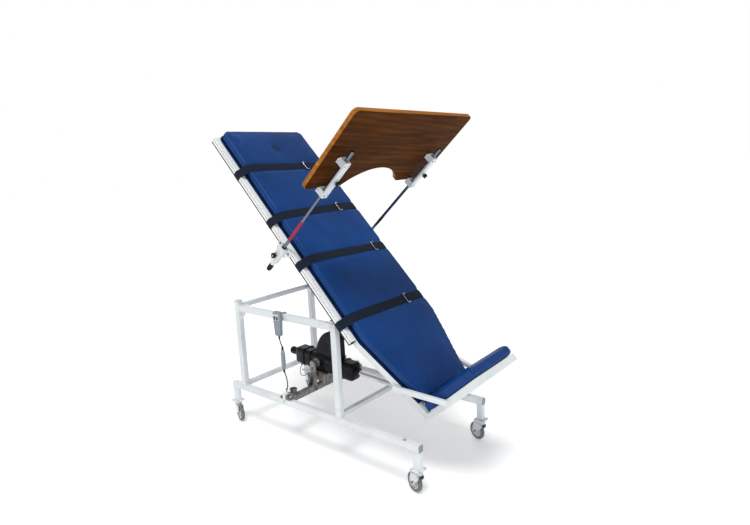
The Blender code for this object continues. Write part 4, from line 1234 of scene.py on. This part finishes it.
def clamp_knob(name):
    """A lobed hand knob on a stem, with a bright stud end in its middle."""
    space = facing(joint_at(f"{name}_turn"), joint_axis(f"{name}_turn"))
    low, high, _ = box_of(name, space)
    radius = (high.x - low.x) / 2 - 0.0006
    lobes = []
    for a, b in circle(radius, 60):
        swelling = 0.93 + 0.07 * math.cos(6 * math.atan2(b, a))
        lobes.append((a * swelling, b * swelling))
    head = plate(f"{name}_head", lobes, high.z - 0.008,
                 space @ Matrix.Translation((0, 0, high.z / 2 + 0.004)), 0.0032, 4)
    add(head, name, KNOB, name)
    neck = [(0, 0.0004), (0.0075, 0.0004), (0.0075, 0.0030), (0.0060, 0.0042), (0.0060, 0.0086), (0, 0.0086)]
    add(lathe(f"{name}_neck", neck, space, 28), name, STEEL)
    stud = ring(0, 0.0042, high.z - 0.001, high.z + 0.0013, (0.0008, 0.0007))
    add(lathe(f"{name}_stud", stud, space, 24), name, STEEL)


def make_posts():
    for side, sign in SIDES:
        node = f"post_{side}"
        low, high, middle = box_of(node, BED)
        space = BED @ Matrix.Translation((middle.x, middle.y, 0))
        shaft = ring(0, POST_R, low.z + 0.01, high.z, (0.0012, 0.0012))
        add(lathe(f"{node}_shaft", shaft, space, 40), "posts", POST_STEEL, node)
        cap_r = (high.x - low.x) / 2
        tip = [(cap_r * 0.98 * a, 0.016 + 0.016 * b) for a, b in arc((0, 0), 1.0, -90, 0, 8)]
        cap = [*tip, (cap_r, 0.046), (cap_r * 0.92, 0.051), (0.0092, 0.052), (0.0092, 0.03), (0, 0.03)]
        add(lathe(f"{node}_cap", [(r, low.z + z) for r, z in cap], space, 40), "posts", RUBBER)
        start, end, material = POST_SLEEVES[sign]
        grip = ring(0.0088, 0.0093, start, end, (0.0002, 0.0008), True)
        add(lathe(f"{node}_sleeve", grip, space, 40), "posts", material)
        make_socket(side, sign, middle.x)


def make_socket(side, sign, x):
    """The clamp on the side rail that each post slides through."""
    node = f"post_socket_{side}"
    v = sign * POST_V
    path = [(x, sign * CLAMP_V, z) for z in CLAMP_SPAN]
    clamp = sweep(f"{node}_clamp", path, rounded(0.045, 0.036, 0.007), X, BED)
    clamp = bored(clamp, drill((x, v, -0.2), (x, v, 0.2), POST_BORE))
    add(soften(clamp, 0.0016, 2), "bed", WHITE, node)
    inner = sign * (LEDGE_V + 0.0013)
    outer = inner + sign * WING_THICK
    for name, out in ENDS:
        far = x + out * 0.056
        wing = block(f"{node}_wing_{name}", (x + out * 0.0228, inner, 0.040), (far, outer, 0.0745), BED,
                     0.0014)
        add(wing, "bed", WHITE)
        bolt(f"{node}_wing_bolt_{name}", BED @ Vector((x + out * 0.0394, outer, 0.057)), Y * sign, 0.009,
             "bed", DARK_STEEL)
        gusset = [(x + out * 0.0226, 0.0395), (far - out * 0.006, 0.0395), (x + out * 0.0226, 0.008)]
        fin = plate(f"{node}_gusset_{name}", gusset, 0.005, BED @ standing(inner + sign * 0.0115), 0.0010, 2)
        add(fin, "bed", WHITE)
    space = BED @ Matrix.Translation((x, v, 0))
    tube_r = 0.0132
    low = box_of(node, BED)[0].z
    sleeve = [(POST_BORE, low), (tube_r - 0.001, low), (tube_r, low + 0.0012), (tube_r, -0.0475),
              (tube_r + 0.0016, -0.0455), (tube_r + 0.0016, -0.0445), (POST_BORE, -0.0445)]
    add(lathe(f"{node}_sleeve", sleeve, space, 40), "bed", WHITE)
    collar = ring(POST_BORE, tube_r, 0.0652, 0.0733, (0.0008, 0.0013), True)
    add(lathe(f"{node}_collar", collar, space, 40), "bed", KNOB)
    beads(f"{node}_weld", [[space @ Vector((*p, -0.0465)) for p in circle(0.0148, 28)]], "bed", 0.0018)
    clamp_knob(f"socket_knob_{side}")


def board_outline(low, high):
    """Half of the board from the cut-out to the outer edge, mirrored; x runs across, y away from the bed."""
    cut_half, depth, fillet, corner = 0.235, 0.115, 0.040, 0.028
    low, high, half = low.z, high.z, high.y
    radius = (cut_half**2 + depth**2) / (2 * depth)
    centre = low + depth - radius
    fillet_v = math.sqrt((radius + fillet) ** 2 - (low + fillet - centre) ** 2)
    touch = math.degrees(math.atan2(low + fillet - centre, fillet_v))
    left = arc((0, centre), radius, 90, touch, 20)
    left += arc((fillet_v, low + fillet), fillet, 180 + touch, 270, 12)
    left += arc((half - corner, low + corner), corner, -90, 0, 10)
    left += arc((half - corner, high - corner), corner, 0, 90, 10)
    return left + [(-v, w) for v, w in reversed(left[1:])]


def make_board():
    low, high, middle = box_of("activity_board", BED)
    board = plate("activity_board_top", board_outline(low, high), high.x - low.x,
                  BED @ plane((middle.x, 0, 0), Y, Z), 0.0055, 5, edge_slot=1)
    board.modifiers["edges"].material = 1
    add(board, "board", (WOOD, WOOD_EDGE), "activity_board")
    for side, _ in SIDES:
        make_bracket(side)


def make_bracket(side):
    """The bracket under the board: two bored blocks with screwed ears, joined by a web."""
    node = f"board_bracket_{side}"
    low, high, middle = box_of(node, BED)
    x, v = box_of(f"post_{side}", BED)[2].x, middle.y
    for name, start, end in (("low", low.z, low.z + BRACKET_EAR), ("high", high.z - BRACKET_EAR, high.z)):
        made = block(f"{node}_{name}", (low.x + 0.0002, low.y, start), (high.x - 0.002, high.y, end), BED,
                     0.003)
        made = bored(made, drill((x, v, start - 0.05), (x, v, end + 0.05), POST_BORE))
        add(made, "board", WHITE, node if name == "low" else None)
        level = (start + end) / 2
        for letter, sign in (("a", -1), ("b", 1)):
            place = BED @ Vector((high.x - 0.0003, v + sign * 0.013, level))
            bolt(f"{node}_screw_{name}_{letter}", place, BED_X, 0.0065, "board")
        ear = block(f"{node}_ear_{name}", (low.x + 0.0002, v - 0.030, start + 0.006),
                    (low.x + 0.0050, v + 0.030, end - 0.006), BED, 0.0012, 2)
        add(ear, "board", WHITE)
        for letter, sign in (("a", -1), ("b", 1)):
            place = BED @ Vector((low.x + 0.0050, v + sign * 0.0245, level))
            bolt(f"{node}_ear_screw_{name}_{letter}", place, BED_X, 0.0060, "board")
    web = block(f"{node}_web", (high.x - 0.011, low.y + 0.0005, low.z),
                (high.x, high.y - 0.0005, high.z), BED, 0.0022)
    add(web, "board", WHITE)
    clamp_knob(f"bracket_knob_{side}")


make_posts()
make_board()

# ---------------------------------------------------------------- drive

TRUNNION_R = 0.012
TRUNNION_BORE = TRUNNION_R + 0.0003
ROD_R = 0.014
ROD_CLEAR = 0.0145
CASE_HALF = 0.048
CASE_SPAN = (-0.055, 0.050)
CASE_MIDDLE = sum(CASE_SPAN) / 2
LYING = DRIVE @ Matrix.Rotation(math.pi / 2, 4, "Y")
GEARBOX_LOW, GEARBOX_HIGH, _ = box_of("drive_gearbox", DRIVE)
BEAM_RAIL = 0.313
BEAM_LEVEL = 0.240
YOKE_Y = 0.085


def rod_bore():
    return drill((-0.4, 0, 0), (0.4, 0, 0), ROD_CLEAR, DRIVE)


def case_outline(x, shrink, radius=0.024):
    width, height = 2 * CASE_HALF - shrink, CASE_SPAN[1] - CASE_SPAN[0] - shrink
    return [(x, a, b + CASE_MIDDLE) for a, b in rounded(width, height, radius, 7)]


def make_housing():
    """The drive's long black case, its nose ring, tail, mounting flanges and screws."""
    low, high, _ = box_of("drive_housing", DRIVE)
    stations = ((-0.190, 0.026), (-0.1875, 0.014), (-0.182, 0.006), (-0.174, 0.0), (0.255, 0.0),
                (0.264, 0.005), (0.271, 0.014), (0.275, 0.026))
    case = loft("drive_case", [case_outline(*station) for station in stations], DRIVE, 30)
    add(bored(case, rod_bore()), "drive", PLASTIC, "drive_housing")
    for number, x in enumerate((-0.118, -0.062, 0.192)):
        rows = ((x - 0.006, -0.004), (x - 0.0045, -0.0085, 0.026), (x + 0.0045, -0.0085, 0.026),
                (x + 0.006, -0.004))
        flange = loft(f"drive_flange_{number}", [case_outline(*row) for row in rows], DRIVE, 30)
        add(bored(flange, rod_bore()), "drive", PLASTIC)
        for corner, (a, b) in enumerate(((-1, -1), (-1, 1), (1, -1), (1, 1))):
            bolt(f"drive_flange_{number}_screw_{corner}",
                 DRIVE @ Vector((x - 0.005, a * 0.0395, CASE_MIDDLE + b * 0.0430)), -DRIVE_X, 0.0065, "drive",
                 DARK_STEEL, washer=False)
    for side, sign in SIDES:
        rib = block(f"drive_side_rib_{side}", (-0.050, sign * 0.047, -0.012), (0.185, sign * 0.0505, 0.004),
                    DRIVE, 0.0015)
        add(rib, "drive", PLASTIC)
    start = low.x
    tail = [(ROD_CLEAR, start), (0.0215, start), (0.0235, start + 0.003), (0.0240, start + 0.010),
            (0.0240, start + 0.022), (0.0222, start + 0.024), (0.0222, start + 0.030),
            (0.0240, start + 0.032), (0.0240, start + 0.058), (0.0270, start + 0.064), (0.0300, -0.186),
            (ROD_CLEAR, -0.186)]
    add(lathe("drive_tail", tail, LYING), "drive", PLASTIC)
    end = high.x
    nose = [(ROD_CLEAR, 0.270), (0.0300, 0.270), (0.0300, 0.286), (0.0288, 0.2885), (0.0260, 0.2895),
            (0.0252, end), (ROD_CLEAR, end)]
    add(lathe("drive_nose", nose, LYING), "drive", PLASTIC)
    wiper = [(ROD_CLEAR, end - 0.001), (0.0215, end - 0.001), (0.0215, end + 0.004), (0.0180, end + 0.0075),
             (ROD_CLEAR, end + 0.008)]
    add(lathe("drive_wiper", wiper, LYING, 40), "drive", WIPER)
    for side, sign in SIDES:
        space = facing(TRUNNION, Y * sign)
        stub = [(0, 0.044), (0.026, 0.044), (0.026, 0.060), (0.0235, 0.064), (TRUNNION_R, 0.066),
                (TRUNNION_R, 0.0925), (TRUNNION_R - 0.0012, 0.0940), (0, 0.0940)]
        add(lathe(f"drive_trunnion_{side}", stub, space, 40), "drive", CAST)
        clip = ring(TRUNNION_R - 0.0008, TRUNNION_R + 0.003, 0.0906, 0.0920)
        add(lathe(f"drive_trunnion_clip_{side}", clip, space, 32), "drive", STEEL)


def motor_arch(grow, base):
    """The motor cover seen from the side: a quarter arch, grown by a margin."""
    back = [(0.120 + (0.140 + grow) * x, base + (0.160 + grow) * y) for x, y in arc((0, 0), 1.0, 180, 90, 22)]
    return back + [(0.148 + grow * 0.7, base + 0.152 + grow * 0.7), (0.160 + grow * 0.4, base)]


def make_motor_cover():
    """The tall motor cover: a quarter arch with cooling ribs over its back and a vent at its side."""
    low, high, _ = box_of("motor_cover", DRIVE)
    half = (high.y - low.y) / 2
    cover = plate("motor_cover_shell", motor_arch(0.0, low.z), 2 * half, DRIVE @ standing(0), 0.015, 6)
    add(cover, "drive", PLASTIC, "motor_cover")
    for number in range(7):
        rib = plate(f"motor_rib_{number}", motor_arch(0.0032, low.z + 0.001), 0.0026,
                    DRIVE @ standing((number - 3) * 0.0088), 0.0010, 2)
        add(rib, "drive", PLASTIC)
    for side, sign in SIDES:
        outline = [(0.058 + 0.052 * a, low.z + 0.055 + 0.032 * b) for a, b in circle(1, 40)]
        seam = plate(f"motor_seam_{side}", outline, 0.0030, DRIVE @ standing(sign * (half - 0.0004)), 0.0012)
        add(seam, "drive", PLASTIC)
        for number in range(5):
            level = low.z + 0.034 + 0.0095 * number
            slat = block(f"motor_vent_{side}_{number}", (0.030, sign * (half + 0.0008), level),
                         (0.086, sign * (half + 0.0028), level + 0.004), DRIVE, 0.0008, 2)
            add(slat, "drive", KNOB)
    skirt = block("motor_cover_skirt", (low.x - 0.004, -half - 0.003, low.z),
                  (high.x + 0.002, half + 0.003, low.z + 0.007), DRIVE)
    add(skirt, "drive", PLASTIC)


def make_gearbox():
    """The cast gearbox under the case, with its worm housing across it."""
    low, high = GEARBOX_LOW, GEARBOX_HIGH
    shell = block("gearbox_shell", (-0.050, -0.060, low.z), (0.072, 0.056, high.z), DRIVE, 0.010, 4)
    add(shell, "drive", CAST, "drive_gearbox")
    flange = block("gearbox_flange", (-0.056, -0.047, high.z - 0.0075), (0.080, 0.047, high.z), DRIVE)
    add(flange, "drive", CAST)
    for number in range(5):
        x = -0.042 + 0.024 * number
        rib = block(f"gearbox_rib_{number}", (x, -0.0635, low.z + 0.006),
                    (x + 0.0035, 0.0595, high.z - 0.008), DRIVE, 0.0014, 2)
        add(rib, "drive", CAST)
    axis = Vector((0.010, 0, (low.z + high.z) / 2 + 0.0003))
    for (side, sign), reach, bolt_y in zip(SIDES, (-low.y, high.y), (0.0600, 0.0560)):
        space = DRIVE @ Matrix.Translation(axis) @ facing((0, 0, 0), Y * sign)
        case = [(0, 0.030), (0.0240, 0.030), (0.0240, reach - 0.008), (0.0226, reach - 0.0055),
                (0.0226, reach - 0.003), (0.0212, reach - 0.0004), (0.0160, reach), (0.0146, reach - 0.0026),
                (0.0100, reach - 0.0034), (0.0092, reach - 0.0008), (0, reach - 0.0004)]
        add(lathe(f"worm_case_{side}", case, space), "drive", CAST)
        lip = [(0.0165, reach - 0.0012), (0.0228, reach - 0.0026), (0.0246, reach - 0.0050),
               (0.0246, reach - 0.0115), (0.0234, reach - 0.0130)]
        add(lathe(f"worm_ring_{side}", lip, space), "drive", BRONZE)
        for number, place in enumerate(arc((0, 0), 0.0300, 45, 315, 3)):
            bolt(f"worm_bolt_{side}_{number}", space @ Vector((*place, bolt_y)), Y * sign, 0.0070, "drive",
                 DARK_STEEL)
    bore = LEAD_R + 0.0002
    collar = [(bore, 0), (0.0052, 0), (0.0052, 0.004), (0.0034, 0.012), (bore, 0.012)]
    space = facing(DRIVE @ Vector((-0.150, -0.030, high.z + 0.0003)), DRIVE_DOWN)
    add(lathe("lead_collar", collar, space, 24), "drive", KNOB)


def make_push_rod():
    low, high, _ = box_of("push_rod", DRIVE)
    start, end = low.x, high.x - 0.042
    shaft = [(0, start), (ROD_R - 0.001, start), (ROD_R, start + 0.001), (ROD_R, end - 0.030), (ROD_R, end),
             (0, end)]
    add(lathe("push_rod_shaft", shaft, LYING), "push_rod", STEEL, "push_rod")
    collar = [(0, end - 0.006), (0.0178, end - 0.006), (0.0185, end - 0.004), (0.0185, end + 0.010),
              (0.0150, end + 0.020), (0, end + 0.020)]
    add(lathe("push_rod_collar", collar, LYING, 6, smooth=20), "push_rod", DARK_STEEL)
    eye = ring(0.0083, 0.0238, -0.0160, 0.0160, (0.0010, 0.0010), True)
    add(lathe("push_rod_eye_ring", eye, facing(ROD_PIN, Y)), "push_rod", CAST)
    nipple = [(0, 0), (0.0036, 0), (0.0036, 0.0022), (0.0018, 0.0036), (0.0024, 0.0056), (0, 0.0066)]
    space = facing(ROD_PIN + DRIVE_DOWN * 0.0235, DRIVE_DOWN)
    add(lathe("push_rod_nipple", nipple, space, 16), "push_rod", STEEL)


def make_rod_mount():
    """The cross tube under the bed, with the clevis that holds the push rod's pin."""
    node = "drive_cross_tube"
    low, high, _ = box_of(node, BED)
    pin = BED.inverted() @ ROD_PIN
    z = FRAME_LOW + 0.001 + CROSS / 2
    bar = sweep(f"{node}_tube", [(pin.x, low.y, z), (pin.x, high.y, z)], square(CROSS), Z, BED)
    add(bar, "bed", WHITE, node)
    outline = [(0.020, FRAME_LOW + 0.004), (-0.020, FRAME_LOW + 0.004),
               *arc((0, pin.z), 0.0195, 180, 360, 16)]
    for side, sign in SIDES:
        cheek = plate(f"clevis_{side}", [(pin.x + a, b) for a, b in outline], 0.0078,
                      BED @ standing(sign * 0.021), 0.0012)
        add(cheek, "bed", WHITE)
        head = ring(0, 0.0110, 0, 0.0048, (0.0012, 0.0013))
        space = facing(ROD_PIN + Y * sign * 0.0250, Y * sign)
        add(lathe(f"clevis_pin_{side}", head, space, 32), "bed", STEEL)
    shank = lathe("clevis_pin_shank", ring(0, 0.0079, 0, 0.049), facing(ROD_PIN - Y * 0.0245, Y), 32)
    add(shank, "bed", STEEL)


def make_drive_beam():
    """The cast cross beam that carries the drive: feet clamped on the rails, a yoke, and a cup."""
    low, high, _ = box_of("drive_beam")
    x = TRUNNION.x
    path = [(x, low.y + 0.043, BEAM_LEVEL), (x, high.y - 0.043, BEAM_LEVEL)]
    bar = sweep("drive_beam_bar", path, square(TUBE), Z)
    add(bar, "base", CAST, "drive_beam")
    for side, sign in SIDES:
        make_beam_foot(side, sign, x)
        make_u_clamp(side, sign, x)
        make_yoke(side, sign, x)
    cup = [(0.0215, 0.0), (0.0215, 0.0030), (0.0195, 0.0060), (0.0195, 0.0290), (0.0228, 0.0320),
           (0.0234, 0.0345), (0.0222, 0.0375), (0.0165, 0.0378), (0.0152, 0.0350), (0.0152, 0.0120),
           (0, 0.0115)]
    space = Matrix.Translation((x - 0.001, -0.2560, 0.2570))
    add(lathe("beam_cup", cup, space, closed=False), "base", CAST)
    bore = CORD_R + 0.0003
    gland = [(bore, 0.0), (0.0100, 0.0), (0.0100, 0.0060), (0.0088, 0.0075), (0.0088, 0.0180),
             (0.0074, 0.0195), (0.0062, 0.0245), (bore, 0.0250)]
    space = Matrix.Translation((x + 0.002, -0.3125, RAIL_TOP + 0.0205))
    add(lathe("cord_gland_body", gland, space, 36), "base", HUB)
    nut = lathe("cord_gland_nut", ring(0.0090, 0.0118, 0.0085, 0.0150), space, 6, smooth=20)
    add(soften(nut, 0.0006, 2), "base", HUB)


def outline_of_foot(grow):
    """A beam foot seen along the beam: flat on the rail, with sloped shoulders."""
    half = [(0.040 + grow, 0.0004), (0.040 + grow, 0.0130), (0.0240 + grow / 2, 0.0150),
            (0.0180 + grow / 2, 0.0270 + grow)]
    return [(-half[0][0], half[0][1]), *half, *((-a, b) for a, b in reversed(half[1:]))]


def make_beam_foot(side, sign, x):
    outer = sign * (BEAM_RAIL + TUBE / 2 - 0.001)
    inner = sign * (BEAM_RAIL - TUBE / 2 - 0.025)
    stations = ((outer, -0.004), (outer - sign * 0.004, 0.0), (inner + sign * 0.012, 0.0), (inner, -0.006))
    shoe = loft(f"beam_foot_{side}", [[(x + a, y, RAIL_TOP + b) for a, b in outline_of_foot(grow)]
                                      for y, grow in stations], HERE, 30)
    add(soften(shoe, 0.0015, 2), "base", CAST)
    for end, out in ENDS:
        strut = [(out * 0.0396, 0.0), (out * 0.018, 0.0), (out * 0.018, 0.0176)]
        space = plane((x, sign * (BEAM_RAIL - TUBE / 2 - 0.034), RAIL_TOP + 0.0005), X, Z)
        add(plate(f"beam_gusset_{side}_{end}", strut, 0.010, space, 0.0015, 2), "base", CAST)
        place = (x + out * 0.0300, sign * BEAM_RAIL, RAIL_TOP + 0.0135)
        bolt(f"beam_bolt_{side}_{end}", place, Z, 0.010, "base")


def make_u_clamp(side, sign, x):
    """A bent strap of bright steel that holds the beam's foot down, round the rail's outer side."""
    outer = sign * (BEAM_RAIL + TUBE / 2)
    face = outer + sign * 0.0022
    path = [(x, sign * 0.3020, RAIL_TOP + 0.0280), (x, face, RAIL_TOP + 0.0280), (x, face, RAIL_TOP - 0.020)]
    add(sweep(f"beam_clamp_{side}", path, rounded(0.022, 0.0028, 0.0010, 2), X), "base", WHITE)
    bolt(f"beam_clamp_bolt_{side}", (x, outer + sign * 0.0036, RAIL_TOP - 0.010), Y * sign, 0.009, "base")


def make_yoke(side, sign, x):
    """The upright arm that holds one trunnion, with a boss round its bore and a rib on each side."""
    outline = [(-0.024, 0.226), (0.024, 0.226), (0.024, 0.262), *arc((0, TRUNNION.z), 0.022, 0, 180, 20),
               (-0.024, 0.262)]
    y = sign * YOKE_Y
    arm = plate(f"yoke_arm_{side}", outline, 0.0098, standing(y, x), 0.0018)
    arm = bored(arm, drill((x, y - 0.05, TRUNNION.z), (x, y + 0.05, TRUNNION.z), TRUNNION_BORE, HERE))
    add(arm, "base", CAST)
    boss = lathe(f"yoke_boss_{side}", ring(TRUNNION_BORE, 0.0205, 0, 0.0036, (0.0015, 0.0012)),
                 facing((x, sign * 0.0758, TRUNNION.z), Y * sign), 40)
    add(boss, "base", CAST)
    for end, out in ENDS:
        rib = plate(f"yoke_rib_{side}_{end}", [(0, 0.2575), (0.030, 0.2575), (0, 0.318)], 0.006,
                    plane((x + out * 0.0175, sign * 0.090, 0), Y * sign, Z), 0.0012, 2)
        add(rib, "base", CAST)


make_housing()
make_motor_cover()
make_gearbox()
make_push_rod()
make_rod_mount()
make_drive_beam()

# ---------------------------------------------------------------- hand control

HANDSET_DEPTH = 0.0295


def oval(radius, stretch):
    return arc((0, stretch), radius, 0, 180, 14) + arc((0, -stretch), radius, 180, 360, 14)


def make_key(name, turn, front):
    """An oval key with an arrow on it. It returns a cutter for the pocket that it sits in."""
    low, high, middle = box_of(name)
    half = (high.x - low.x) / 2
    stretch = (high.z - low.z) / 2 - half
    cap = plate(f"{name}_cap", oval(half - 0.0001, stretch), high.y - low.y, plane(middle, X, Z), 0.0012, 4)
    add(cap, name, PLASTIC, name)
    print_and_shade = plate(f"{name}_arrow", arc((0, 0), 0.0026, turn, turn + 240, 2), 0.0006,
                 plane((middle.x, low.y - 0.0001, middle.z), X, Z), 0.0002, 2)
    add(print_and_shade, name, HUB)
    return oval(half + 0.0005, stretch), plane((middle.x, front + 0.0005, middle.z), X, Z)


def make_handset():
    """The hand control: a tapered grey shell hooked over the top rail, with two oval keys."""
    low, _, middle = box_of("handset")
    x, front = middle.x, low.y
    back = front + HANDSET_DEPTH
    # Height, half width, and how far the front and the back are set in.
    stations = (
        (0.645, 0.0170, 0.0045, 0.0040), (0.6462, 0.0195, 0.0025, 0.0022), (0.650, 0.0212, 0.0010, 0.0010),
        (0.690, 0.0228, 0.0, 0.0), (0.728, 0.0262, 0.0, 0.0), (0.742, 0.0275, 0.0, 0.0),
        (0.774, 0.0275, 0.0, 0.0), (0.780, 0.0262, 0.0012, 0.0010), (0.783, 0.0238, 0.0035, 0.0030),
        (0.784, 0.0205, 0.0060, 0.0050),
    )
    rows = []
    for z, half, near, far in stations:
        depth = back - front - near - far
        y = front + near + depth / 2
        rows.append([(x + a, y + b, z) for a, b in rounded(2 * half, depth, 0.0075, 6)])
    pockets = [make_key("button_up", 90, front), make_key("button_down", -90, front)]

    def pocketed(obj):
        return bored(obj, *[plate("pocket", outline, 0.012, space) for outline, space in pockets])

    add(pocketed(loft("handset_shell", rows, HERE, 30)), "base", GREY, "handset")
    seams = ((0.652, 0.0213), (0.690, 0.0228), (0.728, 0.0262), (0.742, 0.0275), (0.772, 0.0275))
    rows = [[(x + a, front + 0.0148 + b, z) for a, b in rounded(2 * half + 0.0006, 0.0011, 0.0004, 2)]
            for z, half in seams]
    add(loft("handset_seam", rows, HERE, 30), "base", KNOB)
    panel = plate("handset_panel", rounded(0.044, 0.036, 0.005, 5), 0.0009,
                  plane((x, front - 0.0001, 0.7525), X, Z), 0.0003, 2)
    add(pocketed(panel), "base", HUB)
    rail = box_of("top_rail_right")[1]
    top, inner = rail.z + 0.0025, rail.y + 0.0026
    hook = sweep("handset_hook_strip", [(x, back - 0.006, top), (x, inner, top), (x, inner, top - 0.021)],
                 rounded(0.023, 0.0036, 0.0014, 3), X)
    add(hook, "base", GREY)
    for name, z, proud in (("low", 0.668, 0.0002), ("high", 0.772, -0.0004)):
        screw = lathe(f"handset_screw_{name}", ring(0, 0.0026, 0, 0.0010, (0.0006, 0.0005)),
                      facing((x, front + proud, z), -Y), 20)
        add(screw, "base", DARK_STEEL)


make_handset()

# ---------------------------------------------------------------- what is left of the frame

for place in frame["nodes"]["pivot_shaft"].material_slots:
    place.material = STEEL

# ---------------------------------------------------------------- floor and light

FLOOR_REACH = 60.0
WHITE_LIGHT = (1.0, 1.0, 1.0, 1.0)


def make_stage():
    paint = Paint("floor_paint", (0.86, 0.87, 0.88), 0.7)
    paint.color(paint.ramp(paint.noise(1.5, 3.0), (0.3, (0.85, 0.86, 0.87)), (0.7, (0.88, 0.885, 0.89))))
    paint.set(Emission_Color=WHITE_LIGHT, Emission_Strength=0.30)
    mesh = bpy.data.meshes.new("floor")
    corners = ((-1, -1), (1, -1), (1, 1), (-1, 1))
    mesh.from_pydata([(a * FLOOR_REACH, b * FLOOR_REACH, 0) for a, b in corners], [], [(0, 1, 2, 3)])
    mesh.materials.append(paint.material)
    floor = bpy.data.objects.new("floor", mesh)
    bpy.context.scene.collection.objects.link(floor)


def make_light(name, place, aim, angle, power, color):
    """A soft lamp far away, so that the floor is lit evenly."""
    data = bpy.data.lights.new(name, "SUN")
    data.angle = angle
    data.energy = power
    data.color = color
    light = bpy.data.objects.new(name, data)
    bpy.context.scene.collection.objects.link(light)
    direction = Vector(aim) - Vector(place)
    light.matrix_world = Matrix.Translation(place) @ direction.to_track_quat("-Z", "Y").to_matrix().to_4x4()


def make_world():
    """An even white surround that lights the object a little, and looks plain white to the camera."""
    world = bpy.data.worlds.new("studio")
    world.use_nodes = True
    nodes = world.node_tree.nodes
    background = nodes["Background"]
    background.inputs["Color"].default_value = WHITE_LIGHT
    background.inputs["Strength"].default_value = 0.40
    backdrop = nodes.new("ShaderNodeBackground")
    backdrop.inputs["Color"].default_value = WHITE_LIGHT
    seen = nodes.new("ShaderNodeLightPath").outputs["Is Camera Ray"]
    mixed = nodes.new("ShaderNodeMixShader")
    for source, socket in ((seen, mixed.inputs[0]), (background.outputs[0], mixed.inputs[1]),
                           (backdrop.outputs[0], mixed.inputs[2]),
                           (mixed.outputs[0], nodes["World Output"].inputs["Surface"])):
        world.node_tree.links.new(source, socket)
    bpy.context.scene.world = world
    bpy.context.scene.view_settings.view_transform = "Standard"


make_stage()
make_world()
make_light("key", (0.5, -1.3, 4.0), (-0.1, 0.0, 0.6), 0.35, 1.75, (1.0, 0.99, 0.97))
make_light("fill", (3.6, -1.8, 1.6), (0.0, 0.0, 0.8), 0.6, 0.40, (0.96, 0.98, 1.0))
make_light("back", (-2.6, 2.2, 3.0), (-0.3, 0.0, 0.9), 0.6, 0.30, (1.0, 1.0, 1.0))
